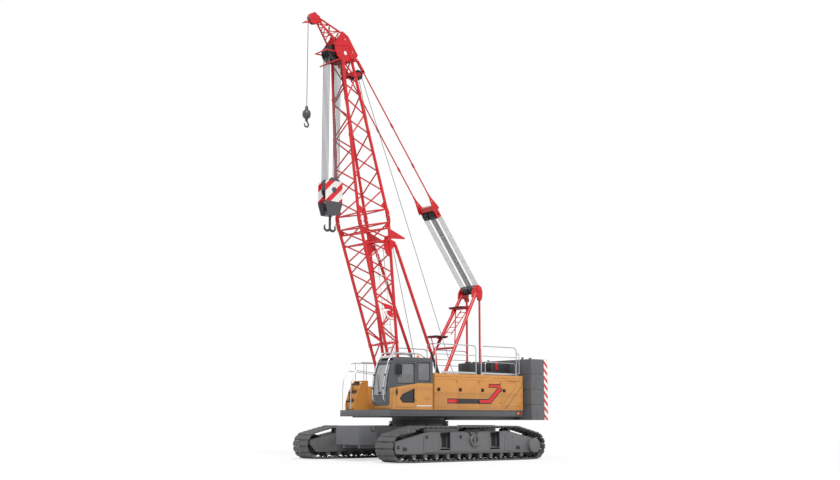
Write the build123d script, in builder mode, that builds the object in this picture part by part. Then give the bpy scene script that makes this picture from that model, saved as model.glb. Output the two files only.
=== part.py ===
"""Crawler crane with a short lattice boom, parked on its tracks.

Millimetres. The origin is on the ground under the slewing axis, +X runs forward, +Y to the
operator's side and +Z up. Each sub-part is one block below and one file in parts/.
"""

import os
from math import acos, atan2, cos, degrees, hypot, radians, sin

from build123d import *

# Clearances
seat_gap = 0.3  # between two pieces that bear on each other
move_gap = 6.0  # between a moving piece and what it passes
pin_gap = 0.3  # round a pin in its eye

# Tracks
track_length = 7100
track_gauge = 5040
shoe_width = 930
shoe_count = 70
shoe_height = 38
shoe_lug = 50
end_radius = 490
wheel_z = 505  # the sprocket and idler stand a little higher than the rollers' run
ground_run_half = 2700
top_run_height = 1210
top_run_half = 2200
roller_radius = 105
roller_count = 11
roller_spacing = 500
roller_width = 400
roller_sides = 16
carrier_radius = 50
carrier_spacing = 1950

# Side frames
frame_width = 660
frame_bottom = 262
frame_top = 1020
frame_flat_half = 1860
frame_nose = 3340
frame_nose_low = 560
frame_nose_high = 700
frame_foot_half = 3050
frame_cheek = 100
drive_cover_radius = 270
hub_x = -200
hub_z = 720
hub_radius = 190

# Axle beams, which the side frames slide along
beam_x = 1155
beam_width = 438
beam_low = 462
beam_height = 534
beam_reach = 2680

# Carbody
carbody_half_length = 1420
carbody_half_width = 1250
carbody_low = 430
carbody_high = 1200
pedestal_radius = 1050
pedestal_top = 1300
ring_outer = 1100
ring_inner = 880
ring_top = 1370
weight_front = 3240
weight_length = 810
weight_half_width = 680
weight_low = 560
weight_high = 1220
bracket_half_spacing = 450
bracket_width = 140

# Revolving deck
deck_top = 1770
deck_front = 2500
deck_rear = 4030
deck_low = 1500
belly_low = 1410
belly_start = 600
girder_half_width = 850
deck_half_width = 1480
deck_edge_low = 1540
turntable_radius = 1000

# Boom
foot_x = 1180
foot_z = 1950
boom_angle = 77.7
foot_half_width = 420
foot_eye_width = 100
foot_eye_radius = 140
foot_pin_radius = 60
lug_thickness = 40
chord_radius = 55
lace_radius = 27
base_start = 350
base_end = 6820
joint_half_depth = 650
joint_half_width = 665
joint_block = 150
foot_half_depth = 95
head_along = 12980
head_ahead = 139
head_half_width = 330
head_plate = 40
top_front_end = 12800
top_front_ahead = -60
top_front_lacing_end = 0.82
top_back_end = 12900
top_back_ahead = -420
sheave_radius = 325
sheave_root = 228
sheave_count = 6
sheave_pitch = 76
rope_radius = 13
rope_sides = 8
deflector_along = 12160
deflector_ahead = -800
deflector_radius = 190
carrier_along = 12210
carrier_ahead = -447
carrier_half_width = 369

# Gantry and boom hoist
peak_x = -2630
peak_z = 6430
peak_half_width = 400
leg_radius = 65
leg_foot_x = -60
leg_foot_z = 1950
leg_foot_half_width = 720
rear_leg_x = -2730
rear_leg_half_width = 370
rear_leg_radius = 40
rear_leg_low = 3500
reeve_radius = 160
reeve_rope_radius = 9
bridle_distance = 3400
pendant_half_width = 430
pendant_radius = 25
pendant_eye_along = 12630
pendant_eye_ahead = -614
ear_bar_ahead = -405
ear_bar_radius = 50

# Backstops
stop_half_width = 605
stop_pin_along = 5770
stop_pin_ahead = -807
stop_foot_x = -420
stop_foot_z = 3120
stop_tube_radius = 57
stop_rod_radius = 45
stop_tube_length = 4250
stop_rod_reach = 3000

# Hooks
fall_length = 5108
block_sheave_half_width = 28
block_half_width = 360
block_half_depth = 225
block_height = 800
aux_sheave_x = 4940
aux_sheave_z = 15750
aux_sheave_radius = 190
aux_rope_length = 3300
jib_chord_half_width = 277
jib_cheek_reach = 215

# Houses and cab
house_front = 490
house_rear = -3900
house_side = 1500
house_inner = 850
house_top = 3070
house_wall = 40
door_counts = {"left": 4, "right": 3}
cab_front = 2600
cab_rear = 580
cab_outer = 1500
cab_inner = 560
cab_top = 3580
cab_wall = 50
cab_pillar = 1330

# Counterweight
weight_plate_front = -4060
weight_plate_rear = -4760
weight_plate_half_width = 1800
weight_plate_low = 1410
weight_plate_height = 578
weight_plate_count = 4
stripe_plate_reach = 190
stripe_plate_thickness = 15

os.makedirs("parts", exist_ok=True)


def save(piece, name):
    """Label a finished sub-part and write its file."""
    piece.part.label = name
    export_step(piece.part, f"parts/{name}.step")


def block(low, high, mode=Mode.ADD):
    """Rectangular block between two opposite corners."""
    centre = tuple((a + b) / 2 for a, b in zip(low, high))
    with Locations(centre):
        Box(*[b - a for a, b in zip(low, high)], mode=mode)


def side_plate(points, y_low, y_high, mode=Mode.ADD):
    """Plate whose outline is drawn from the side, as (x, z) points."""
    with BuildSketch(Plane.XZ.offset(-y_high)) as outline:
        Polygon(*points, align=None)
    extrude(outline.sketch, amount=y_high - y_low, mode=mode)


def cross_pin(x, z, radius, y_low, y_high, mode=Mode.ADD, sides=0):
    """Bar or hole across the crane, round unless it is given a number of sides."""
    with BuildSketch(Plane.XZ.offset(-y_high)) as outline:
        with Locations((x, z)):
            if sides:
                RegularPolygon(radius, sides)
            else:
                Circle(radius)
    extrude(outline.sketch, amount=y_high - y_low, mode=mode)


def post(x, y, radius, z_low, z_high, mode=Mode.ADD):
    """Upright round bar or hole."""
    with BuildSketch(Plane.XY.offset(z_low)) as outline:
        with Locations((x, y)):
            Circle(radius)
    extrude(outline.sketch, amount=z_high - z_low, mode=mode)


def bars(runs, radius, sides=8):
    """Many-sided tubes between pairs of points, joined to the open part in one step."""
    pieces = []
    for start, end in runs:
        run = Vector(*end) - Vector(*start)
        with BuildSketch(Plane(origin=start, z_dir=run)) as section:
            RegularPolygon(radius, sides)
        pieces.append(extrude(section.sketch, amount=run.length, mode=Mode.PRIVATE))
    add(pieces)


def mirrored(piece, name):
    """The same sub-part on the other side of the crane."""
    with BuildPart() as other:
        mirror(piece.part, about=Plane.XZ)
    save(other, name)
    return other


# Track loop
track_y = track_gauge / 2
wheel_x = track_length / 2 - end_radius
pitch_radius = end_radius - shoe_height
top_line = top_run_height - shoe_height


def tangent_angle(run_half, height):
    """Angle above the horizontal at which the loop leaves the front wheel towards a run."""
    away = wheel_x - run_half
    rise = height - wheel_z
    reach = degrees(acos(pitch_radius / hypot(away, rise)))
    direction = degrees(atan2(rise, -away))
    return direction - reach if rise > 0 else direction + reach


top_angle = tangent_angle(top_run_half, top_line)
low_angle = tangent_angle(ground_run_half, shoe_height)

with BuildLine() as pitch_line:
    front_arc = CenterArc((wheel_x, wheel_z), pitch_radius, low_angle, top_angle - low_angle)
    rear_arc = CenterArc((-wheel_x, wheel_z), pitch_radius, 180 - top_angle, top_angle - low_angle)
    Polyline(front_arc @ 1, (top_run_half, top_line), (-top_run_half, top_line), rear_arc @ 0)
    Polyline(
        rear_arc @ 1,
        (-ground_run_half, shoe_height),
        (ground_run_half, shoe_height),
        front_arc @ 0,
    )


def shoe_outline(profile):
    """Corner points of one profile repeated along the pitch line."""
    loop = pitch_line.wire()
    pitch = loop.length / shoe_count
    middle = Vector(0, wheel_z, 0)
    points = []
    for index in range(shoe_count):
        place = loop.position_at((index + 0.5) / shoe_count)
        along = loop.tangent_at((index + 0.5) / shoe_count)
        outward = Vector(along.Y, -along.X, 0)
        if outward.dot(place - middle) < 0:
            outward = outward * -1
        for share, height in profile:
            corner = place + along * (share * pitch) + outward * height
            points.append((corner.X, corner.Y))
    return points


pad_profile = [(-0.47, 6), (-0.44, shoe_height), (0.44, shoe_height), (0.47, 6)]
lug_profile = [(-0.28, -14), (-0.18, -shoe_lug), (0.18, -shoe_lug), (0.28, -14)]

with BuildPart() as track_left:
    with BuildSketch(Plane.XZ.offset(-track_y - shoe_width / 2)):
        Polygon(*shoe_outline(pad_profile), align=None)
        Polygon(*shoe_outline(lug_profile), align=None, mode=Mode.SUBTRACT)
    extrude(amount=shoe_width)
save(track_left, "track_left")
mirrored(track_left, "track_right")

# Side frame with the two sleeves that ride on the axle beams
frame_in = track_y - frame_width / 2
frame_out = track_y + frame_width / 2
slot_in = frame_in + frame_cheek
slot_out = frame_out - frame_cheek
wheel_inner = pitch_radius - shoe_lug
roller_z = shoe_height + shoe_lug + seat_gap + roller_radius
carrier_z = top_line - shoe_lug - seat_gap - carrier_radius
slot_start = wheel_x - wheel_inner - 40

frame_side = [
    (frame_nose, frame_nose_low),
    (frame_nose, frame_nose_high),
    (frame_flat_half, frame_top),
    (-frame_flat_half, frame_top),
    (-frame_nose, frame_nose_high),
    (-frame_nose, frame_nose_low),
    (-frame_foot_half, frame_bottom),
    (frame_foot_half, frame_bottom),
]
roller_places = [
    (index - (roller_count - 1) / 2) * roller_spacing for index in range(roller_count)
]

with BuildPart() as track_frame_left:
    side_plate(frame_side, frame_in, frame_out)
    for end in (-1, 1):
        near, far = sorted((end * slot_start, end * (frame_nose + 10)))
        block((near, slot_in, frame_bottom - 10), (far, slot_out, frame_top), Mode.SUBTRACT)
        half = beam_width / 2 + move_gap
        block(
            (end * beam_x - half, frame_in - 10, beam_low - seat_gap),
            (end * beam_x + half, frame_out + 10, beam_low + beam_height + move_gap),
            Mode.SUBTRACT,
        )
    block(
        (-slot_start, slot_in, frame_bottom - 10),
        (slot_start, slot_out, roller_z + roller_radius + 10),
        Mode.SUBTRACT,
    )
    for x in roller_places:
        for y in (slot_in - 80, slot_out + 10):
            block((x - 70, y, roller_z - 50), (x + 70, y + 70, frame_bottom))
    for x in (-carrier_spacing, 0, carrier_spacing):
        for y in (slot_in, slot_out - 40):
            block((x - 60, y, frame_top - 40), (x + 60, y + 40, carrier_z + 30))
    cross_pin(hub_x, hub_z, hub_radius, frame_out, frame_out + 40)
save(track_frame_left, "track_frame_left")
mirrored(track_frame_left, "track_frame_right")

with BuildPart() as rollers_left:
    for x in roller_places:
        half = roller_width / 2
        cross_pin(x, roller_z, roller_radius, track_y - half, track_y + half, sides=roller_sides)
        cross_pin(x, roller_z, 35, slot_in - 10 + seat_gap, slot_out + 10 - seat_gap, sides=6)
    for x in (-carrier_spacing, 0, carrier_spacing):
        reach = slot_out - 40 - seat_gap
        cross_pin(x, carrier_z, carrier_radius, slot_in + 40 + seat_gap, reach, sides=roller_sides)
save(rollers_left, "rollers_left")
mirrored(rollers_left, "rollers_right")

wheel_radius = wheel_inner - seat_gap
with BuildPart() as idler_left:
    cross_pin(wheel_x, wheel_z, wheel_radius, track_y - 190, track_y + 190)
    for y_low, y_high in ((track_y - 190, track_y - 120), (track_y + 120, track_y + 190)):
        cross_pin(wheel_x, wheel_z, wheel_radius - 90, y_low, y_high, Mode.SUBTRACT)
    cross_pin(wheel_x, wheel_z, 90, slot_in + seat_gap, slot_out - seat_gap)
save(idler_left, "idler_left")
mirrored(idler_left, "idler_right")

sprocket_teeth = 18
with BuildPart() as sprocket_left:
    tooth_step = 360 / sprocket_teeth
    tips = []
    for index in range(sprocket_teeth):
        for turn, radius in (
            (-0.42, wheel_radius - 55),
            (-0.2, wheel_radius),
            (0.2, wheel_radius),
            (0.42, wheel_radius - 55),
        ):
            angle = radians((index + turn) * tooth_step)
            tips.append((-wheel_x + radius * cos(angle), wheel_z + radius * sin(angle)))
    side_plate(tips, track_y - 150, track_y + 150)
    cross_pin(-wheel_x, wheel_z, 180, slot_in + seat_gap, slot_out - seat_gap)
save(sprocket_left, "sprocket_left")
mirrored(sprocket_left, "sprocket_right")

with BuildPart() as travel_drive_left:
    cross_pin(-wheel_x, wheel_z, drive_cover_radius, frame_out, frame_out + 60)
    cross_pin(-wheel_x, wheel_z, 190, frame_out + 60, frame_out + 90)
    cross_pin(-wheel_x, wheel_z, 210, frame_in - 260, frame_in)
save(travel_drive_left, "travel_drive_left")
mirrored(travel_drive_left, "travel_drive_right")

# Carbody
with BuildPart() as carbody:
    block(
        (-carbody_half_length, -carbody_half_width, carbody_low),
        (carbody_half_length, carbody_half_width, carbody_high),
    )
    chamfer(carbody.edges().filter_by(Axis.Z), 300)
    for end in (-1, 1):
        block(
            (end * beam_x - beam_width / 2, -beam_reach, beam_low),
            (end * beam_x + beam_width / 2, beam_reach, beam_low + beam_height),
        )
        for side in (-1, 1):
            near, far = sorted((end * (carbody_half_length - 50), end * (weight_front - 200)))
            y = side * bracket_half_spacing
            block(
                (near, y - bracket_width / 2, weight_low - 120),
                (far, y + bracket_width / 2, weight_low),
            )
    post(0, 0, pedestal_radius, carbody_high - 10, pedestal_top)
save(carbody, "carbody")

with BuildPart() as carbody_weights:
    for end in (-1, 1):
        near, far = sorted((end * (weight_front - weight_length), end * weight_front))
        block((near, -weight_half_width, weight_low), (far, weight_half_width, weight_high))
save(carbody_weights, "carbody_weights")

with BuildPart() as slew_ring_lower:
    post(0, 0, ring_outer, pedestal_top, ring_top)
    post(0, 0, ring_inner, pedestal_top, ring_top, Mode.SUBTRACT)
save(slew_ring_lower, "slew_ring_lower")

with BuildPart() as slew_ring_upper:
    post(0, 0, turntable_radius, ring_top + seat_gap, belly_low)
    post(0, 0, ring_inner, ring_top + seat_gap, belly_low, Mode.SUBTRACT)
save(slew_ring_upper, "slew_ring_upper")

# Deck with its boom foot lugs, gantry foot lugs and backstop brackets
eye_inner = foot_half_width - foot_eye_width
foot_lugs = (
    (eye_inner - seat_gap - lug_thickness, eye_inner - seat_gap),
    (foot_half_width + seat_gap, foot_half_width + seat_gap + lug_thickness),
)
with BuildPart() as deck:
    girder = [
        (deck_front - 100, deck_low),
        (-belly_start, deck_low),
        (-belly_start - 150, belly_low),
        (-deck_rear, belly_low),
        (-deck_rear, deck_top),
        (deck_front - 100, deck_top),
    ]
    side_plate(girder, -girder_half_width, girder_half_width)
    block((house_rear, -deck_half_width, deck_edge_low), (deck_front, deck_half_width, deck_top))
    post(0, 0, turntable_radius, belly_low, deck_low + 10)
    for side in (-1, 1):
        for y_low, y_high in foot_lugs:
            low, high = sorted((side * y_low, side * y_high))
            lug = [
                (foot_x - 260, deck_top - 10),
                (foot_x + 200, deck_top - 10),
                (foot_x + 110, foot_z + 60),
                (foot_x, foot_z + 120),
                (foot_x - 110, foot_z + 60),
            ]
            side_plate(lug, low, high)
            cross_pin(foot_x, foot_z, foot_pin_radius, low, high, Mode.SUBTRACT)
        low, high = sorted((side * (stop_half_width - 25), side * (stop_half_width + 25)))
        bracket = [
            (leg_foot_x + 210, deck_top - 10),
            (leg_foot_x + 620, deck_top - 10),
            (stop_foot_x + 75, stop_foot_z + 20),
            (stop_foot_x + 30, stop_foot_z + 70),
            (stop_foot_x - 60, stop_foot_z + 40),
            (stop_foot_x - 60, stop_foot_z - 40),
        ]
        side_plate(bracket, low, high)
        for shift in (-100, 70):
            low, high = sorted(
                (side * (leg_foot_half_width + shift), side * (leg_foot_half_width + shift + 30))
            )
            lug = [
                (leg_foot_x - 130, deck_top - 10),
                (leg_foot_x + 130, deck_top - 10),
                (leg_foot_x + 70, leg_foot_z + 60),
                (leg_foot_x - 70, leg_foot_z + 60),
            ]
            side_plate(lug, low, high)
save(deck, "deck")

with BuildPart() as boom_foot_pins:
    for side in (-1, 1):
        low, high = sorted((side * (foot_lugs[0][0] - 20), side * (foot_lugs[1][1] + 20)))
        cross_pin(foot_x, foot_z, foot_pin_radius - pin_gap, low, high)
save(boom_foot_pins, "boom_foot_pins")

# Boom, placed by distance along it, offset to the left and offset ahead of its centre line
along_x = cos(radians(boom_angle))
along_z = sin(radians(boom_angle))


def on_boom(along, left, ahead):
    """Point in the crane's frame of a point given in the boom's own directions."""
    return (
        foot_x + along * along_x + ahead * along_z,
        left,
        foot_z + along * along_z - ahead * along_x,
    )


def boom_plate(points, y_low, y_high, mode=Mode.ADD):
    """Plate in line with the boom, outlined as (along, ahead) points."""
    outline = [on_boom(along, 0, ahead) for along, ahead in points]
    side_plate([(x, z) for x, _, z in outline], y_low, y_high, mode)


def boom_pin(along, ahead, radius, y_low, y_high, mode=Mode.ADD):
    """Round bar or hole across the boom."""
    x, _, z = on_boom(along, 0, ahead)
    cross_pin(x, z, radius, y_low, y_high, mode)


def between(start, end, share):
    """Point part of the way between two points."""
    return tuple(a + (b - a) * share for a, b in zip(start, end))


def zigzag(chord_a, chord_b, count, first=0.0, last=1.0):
    """Lacing bars that run to and fro between two chords."""
    runs = []
    for index in range(count):
        share = first + (last - first) * index / count
        following = first + (last - first) * (index + 1) / count
        ends = (chord_a, chord_b) if index % 2 == 0 else (chord_b, chord_a)
        runs.append((between(*ends[0], share), between(*ends[1], following)))
    return runs


base_last = base_end - joint_block
base_chords = {}
for side in (-1, 1):
    for face in (-1, 1):
        base_chords[side, face] = (
            on_boom(
                base_start,
                side * (foot_half_width - foot_eye_width / 2),
                face * foot_half_depth,
            ),
            on_boom(base_last, side * joint_half_width, face * joint_half_depth),
        )

with BuildPart() as boom_base:
    bars(base_chords.values(), chord_radius)
    laces = []
    for side in (-1, 1):
        laces += zigzag(base_chords[side, 1], base_chords[side, -1], 8, 0.22, 0.985)
    for face in (-1, 1):
        laces += zigzag(base_chords[1, face], base_chords[-1, face], 8, 0.30, 0.985)
    for share in (0.30, 0.985):
        corners = [between(*base_chords[key], share) for key in ((1, 1), (1, -1), (-1, -1), (-1, 1))]
        laces += list(zip(corners, corners[1:] + corners[:1]))
    bars(laces, lace_radius, 6)
    for side in (-1, 1):
        low, high = sorted((side * eye_inner, side * foot_half_width))
        boom_pin(0, 0, foot_eye_radius, low, high)
        foot = [
            (0, -foot_eye_radius),
            (600, -foot_half_depth - 80),
            (1000, -foot_half_depth - 60),
            (1000, foot_half_depth + 60),
            (600, foot_half_depth + 80),
            (0, foot_eye_radius),
        ]
        boom_plate(foot, low, high)
        boom_pin(0, 0, foot_pin_radius, low, high, Mode.SUBTRACT)
        low, high = sorted((side * (stop_half_width - 15), side * (stop_half_width + 15)))
        stop_lug = [
            (stop_pin_along - 220, -joint_half_depth + 100),
            (stop_pin_along + 220, -joint_half_depth + 60),
            (stop_pin_along + 50, stop_pin_ahead - 50),
            (stop_pin_along - 50, stop_pin_ahead - 50),
        ]
        boom_plate(stop_lug, low, high)
        for face in (-1, 1):
            end = on_boom(base_last, side * joint_half_width, face * joint_half_depth)
            bars([(end, on_boom(base_end, side * joint_half_width, face * joint_half_depth))], 75)
save(boom_base, "boom_base")

top_chords = {}
for side in (-1, 1):
    for face, along, ahead in ((1, top_front_end, top_front_ahead), (-1, top_back_end, top_back_ahead)):
        top_chords[side, face] = (
            on_boom(base_end + joint_block, side * joint_half_width, face * joint_half_depth),
            on_boom(along, side * head_half_width, ahead),
        )

with BuildPart() as boom_top:
    bars(top_chords.values(), chord_radius)
    laces = []
    for side in (-1, 1):
        laces += zigzag(top_chords[side, 1], top_chords[side, -1], 8, 0.015, 0.97)
    laces += zigzag(top_chords[1, -1], top_chords[-1, -1], 8, 0.015, 0.97)
    laces += zigzag(top_chords[1, 1], top_chords[-1, 1], 8, 0.015, top_front_lacing_end)
    corners = [between(*top_chords[key], 0.015) for key in ((1, 1), (1, -1), (-1, -1), (-1, 1))]
    laces += list(zip(corners, corners[1:] + corners[:1]))
    bars(laces, lace_radius, 6)
    for side in (-1, 1):
        for face in (-1, 1):
            start = on_boom(base_end, side * joint_half_width, face * joint_half_depth)
            end = on_boom(
                base_end + joint_block, side * joint_half_width, face * joint_half_depth
            )
            bars([(start, end)], 75)
        low, high = sorted((side * (head_half_width - 20), side * (head_half_width + 20)))
        head = [
            (12600, -540),
            (12650, 0),
            (12850, 190),
            (13080, 230),
            (13320, 190),
            (13740, -230),
            (13550, -460),
            (12830, -760),
        ]
        boom_plate(head, low, high)
        low, high = sorted((side * (pendant_half_width - 15), side * (pendant_half_width + 15)))
        ear = [
            (pendant_eye_along - 90, -380),
            (pendant_eye_along + 90, -380),
            (pendant_eye_along + 45, pendant_eye_ahead - 45),
            (pendant_eye_along - 45, pendant_eye_ahead - 45),
        ]
        boom_plate(ear, low, high)
    reach = pendant_half_width + 15
    boom_pin(pendant_eye_along, ear_bar_ahead, ear_bar_radius, -reach, reach)
    boom_pin(12800, -250, 60, -head_half_width, head_half_width)
    boom_pin(13380, -280, 60, -head_half_width, head_half_width)
    for side in (-1, 1):
        low, high = sorted((side * 170, side * 200))
        arm = [
            (carrier_along - 120, carrier_ahead + 40),
            (carrier_along + 60, carrier_ahead + 40),
            (deflector_along + 60, deflector_ahead - 60),
            (deflector_along - 60, deflector_ahead - 60),
        ]
        boom_plate(arm, low, high)
    carrier_ends = [
        on_boom(carrier_along, side * carrier_half_width, carrier_ahead) for side in (-1, 1)
    ]
    bars([carrier_ends], 45)
save(boom_top, "boom_top")

with BuildPart() as head_sheaves:
    with BuildSketch(Plane.XY) as groove:
        width = sheave_count * sheave_pitch
        with BuildLine():
            points = [(0, -width / 2), (sheave_radius, -width / 2)]
            for index in range(sheave_count):
                centre = (index - (sheave_count - 1) / 2) * sheave_pitch
                points += [
                    (sheave_radius, centre - 0.42 * sheave_pitch),
                    (sheave_root, centre - 0.2 * sheave_pitch),
                    (sheave_root, centre + 0.2 * sheave_pitch),
                    (sheave_radius, centre + 0.42 * sheave_pitch),
                ]
            points += [(sheave_radius, width / 2), (0, width / 2)]
            Polyline(*points, close=True)
        make_face()
    head_x, _, head_z = on_boom(head_along, 0, head_ahead)
    revolve(groove.sketch, Axis.Y, mode=Mode.ADD)
    head_cluster = head_sheaves.part

# Tip jib
with BuildPart() as tip_jib:
    tip = (aux_sheave_x, aux_sheave_z)
    base_low = on_boom(13330, 0, 60)
    base_high = on_boom(13620, 0, -330)
    runs = []
    for side in (-1, 1):
        low_start = (base_low[0], side * jib_chord_half_width, base_low[2])
        high_start = (base_high[0], side * jib_chord_half_width, base_high[2])
        low_end = (tip[0] - aux_sheave_radius - 10, side * 75, tip[1] - 60)
        high_end = (tip[0] - aux_sheave_radius - 10, side * 75, tip[1] + 60)
        runs += [(low_start, low_end), (high_start, high_end)]
    bars(runs, 32, 8)
    laces = zigzag(runs[0], runs[1], 5, 0.02, 0.95) + zigzag(runs[2], runs[3], 5, 0.02, 0.95)
    laces += zigzag(runs[1], runs[3], 5, 0.02, 0.95) + zigzag(runs[0], runs[2], 4, 0.25, 0.95)
    bars(laces, 18, 6)
    for side in (-1, 1):
        low, high = sorted((side * 55, side * 85))
        reach = jib_cheek_reach
        cheek = [
            (tip[0] - reach - 30, tip[1] - 130),
            (tip[0], tip[1] - reach),
            (tip[0] + 150, tip[1] - 150),
            (tip[0] + reach, tip[1]),
            (tip[0] + 150, tip[1] + 150),
            (tip[0], tip[1] + reach),
            (tip[0] - reach - 30, tip[1] + 130),
        ]
        side_plate(cheek, low, high)
        knuckle_high = head_half_width - 20 - seat_gap
        low, high = sorted((side * 262, side * knuckle_high))
        knuckle = [(13240, 40), (13380, 100), (13700, -330), (13560, -400)]
        boom_plate(knuckle, low, high)
    boom_pin(13600, -330, 35, -jib_chord_half_width, jib_chord_half_width)
save(tip_jib, "tip_jib")

with BuildPart() as boom_sheaves:
    add(head_cluster.moved(Location((head_x, 0, head_z))))
    reach = head_half_width - 20 - seat_gap
    cross_pin(head_x, head_z, 60, -reach, reach)
    boom_pin(deflector_along, deflector_ahead, deflector_radius, -160, -20)
    boom_pin(deflector_along, deflector_ahead, deflector_radius, 20, 160)
    boom_pin(deflector_along, deflector_ahead, 40, -170 + seat_gap, 170 - seat_gap)
    cross_pin(tip[0], tip[1], aux_sheave_radius, -40, 40)
    cross_pin(tip[0], tip[1], 30, -55 + seat_gap, 55 - seat_gap)
save(boom_sheaves, "boom_sheaves")

# Gantry
with BuildPart() as gantry:
    legs = []
    rungs = []
    for side in (-1, 1):
        top = (peak_x + 120, side * peak_half_width, peak_z - 180)
        foot = (leg_foot_x, side * leg_foot_half_width, leg_foot_z)
        legs.append((top, foot))
    bars(legs, leg_radius)
    for share in (0.12, 0.5, 0.86):
        rungs.append((between(*legs[0], share), between(*legs[1], share)))
    bars(rungs, 40)
    for side in (-1, 1):
        low, high = sorted((side * (peak_half_width - 30), side * (peak_half_width + 30)))
        cheek = [
            (peak_x - 200, peak_z - 330),
            (peak_x + 330, peak_z - 330),
            (peak_x + 160, peak_z + 120),
            (peak_x, peak_z + 170),
            (peak_x - 160, peak_z + 90),
        ]
        side_plate(cheek, low, high)
        centre = side * leg_foot_half_width
        cross_pin(leg_foot_x, leg_foot_z, 90, centre - 70 + seat_gap, centre + 70 - seat_gap)
save(gantry, "gantry")

with BuildPart() as gantry_sheaves:
    reach = peak_half_width - 30 - seat_gap
    cross_pin(peak_x, peak_z, 60, -reach, reach)
    for side in (-1, 1):
        low, high = sorted((side * 100, side * 350))
        cross_pin(peak_x, peak_z, reeve_radius, low, high)
save(gantry_sheaves, "gantry_sheaves")

with BuildPart() as gantry_rear_legs:
    for side in (-1, 1):
        y = side * rear_leg_half_width
        post(rear_leg_x, y, rear_leg_radius, rear_leg_low, peak_z - 330)
        post(rear_leg_x, y, 70, deck_top, rear_leg_low + 60)
save(gantry_rear_legs, "gantry_rear_legs")

# Boom hoist line from the gantry peak to the boom head
eye_x, _, eye_z = on_boom(pendant_eye_along, 0, pendant_eye_ahead)
line_length = hypot(eye_x - peak_x, eye_z - peak_z)
line_x = (eye_x - peak_x) / line_length
line_z = (eye_z - peak_z) / line_length


def on_line(along, left, above):
    """Point in the crane's frame of a point given along the hoist line."""
    return (
        peak_x + along * line_x - above * line_z,
        left,
        peak_z + along * line_z + above * line_x,
    )


def line_plate(points, y_low, y_high, mode=Mode.ADD):
    """Plate in line with the hoist line, outlined as (along, above) points."""
    outline = [on_line(along, 0, above) for along, above in points]
    side_plate([(x, z) for x, _, z in outline], y_low, y_high, mode)


rope_offset = reeve_radius + seat_gap + reeve_rope_radius
with BuildPart() as hoist_ropes:
    runs = []
    for left in (-310, -225, -140, 140, 225, 310):
        for above in (-rope_offset, rope_offset):
            runs.append((on_line(0, left, above), on_line(bridle_distance, left, above)))
    bars(runs, reeve_rope_radius)
save(hoist_ropes, "hoist_ropes")

bridle_x, _, bridle_z = on_line(bridle_distance, 0, 0)
beam_along = bridle_distance + 280
with BuildPart() as bridle:
    for side in (-1, 1):
        low, high = sorted((side * 370, side * 400))
        line_plate(
            [
                (bridle_distance - 150, -110),
                (bridle_distance - 150, 110),
                (beam_along + 120, 110),
                (beam_along + 120, -110),
            ],
            low,
            high,
        )
        low, high = sorted((side * 100, side * 350))
        cross_pin(bridle_x, bridle_z, reeve_radius, low, high)
        low, high = sorted((side * (pendant_half_width - 15), side * (pendant_half_width + 15)))
        line_plate(
            [
                (beam_along - 90, -90),
                (beam_along - 90, 90),
                (beam_along + 330, 45),
                (beam_along + 330, -45),
            ],
            low,
            high,
        )
    cross_pin(bridle_x, bridle_z, 45, -400, 400)
    line_plate(
        [
            (beam_along - 90, -80),
            (beam_along - 90, 80),
            (beam_along + 90, 80),
            (beam_along + 90, -80),
        ],
        -pendant_half_width,
        pendant_half_width,
    )
save(bridle, "bridle")

pendant_ear = 480
with BuildPart() as pendants:
    near = beam_along + 330
    far = line_length
    runs = []
    for side in (-1, 1):
        left = side * pendant_half_width
        runs.append((on_line(near, left, 0), on_line(far - pendant_ear, left, 0)))
    bars(runs, pendant_radius)
    for side in (-1, 1):
        left = side * pendant_half_width
        line_plate(
            [
                (far - pendant_ear - 60, -45),
                (far - pendant_ear - 60, 45),
                (far - pendant_ear + 60, 45),
                (far - pendant_ear + 60, -45),
            ],
            left - 35,
            left + 35,
        )
        for shift in (-35, 15 + seat_gap):
            line_plate(
                [
                    (far - pendant_ear, -45),
                    (far - pendant_ear, 45),
                    (far + 60, 45),
                    (far + 60, -45),
                ],
                left + shift,
                left + shift + 20 - seat_gap,
            )
save(pendants, "pendants")

# Backstops
stop_x, _, stop_z = on_boom(stop_pin_along, 0, stop_pin_ahead)
stop_length = hypot(stop_x - stop_foot_x, stop_z - stop_foot_z)
stop_dir_x = (stop_foot_x - stop_x) / stop_length
stop_dir_z = (stop_foot_z - stop_z) / stop_length


def on_stop(along, left, across):
    """Point along a backstop, counted from its pin on the boom."""
    return (
        stop_x + along * stop_dir_x - across * stop_dir_z,
        left,
        stop_z + along * stop_dir_z + across * stop_dir_x,
    )


def stop_plate(points, y_low, y_high):
    """Plate in line with a backstop, outlined as (along, across) points."""
    outline = [on_stop(along, 0, across) for along, across in points]
    side_plate([(x, z) for x, _, z in outline], y_low, y_high)


def fork(centre, gap_half, ear, along_from, along_to, width):
    """Two ears of a fork that straddles a plate."""
    for low, high in ((-gap_half - ear, -gap_half), (gap_half, gap_half + ear)):
        stop_plate(
            [
                (along_from, -width),
                (along_from, width),
                (along_to, width),
                (along_to, -width),
            ],
            centre + low,
            centre + high,
        )


tube_start = 200
with BuildPart() as backstop_tubes:
    for side in (-1, 1):
        centre = side * stop_half_width
        bars([(on_stop(tube_start, centre, 0), on_stop(stop_tube_length, centre, 0))], stop_tube_radius)
        fork(centre, 15 + seat_gap, 20, -50, tube_start + 60, 45)
    for side in (-1, 1):
        centre = side * stop_half_width
        start = on_stop(tube_start + 90, centre, 0)
        with BuildSketch(Plane(origin=start, z_dir=(stop_dir_x, 0, stop_dir_z))) as section:
            Circle(stop_rod_radius + pin_gap)
        extrude(section.sketch, amount=stop_tube_length, mode=Mode.SUBTRACT)
save(backstop_tubes, "backstop_tubes")

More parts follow.
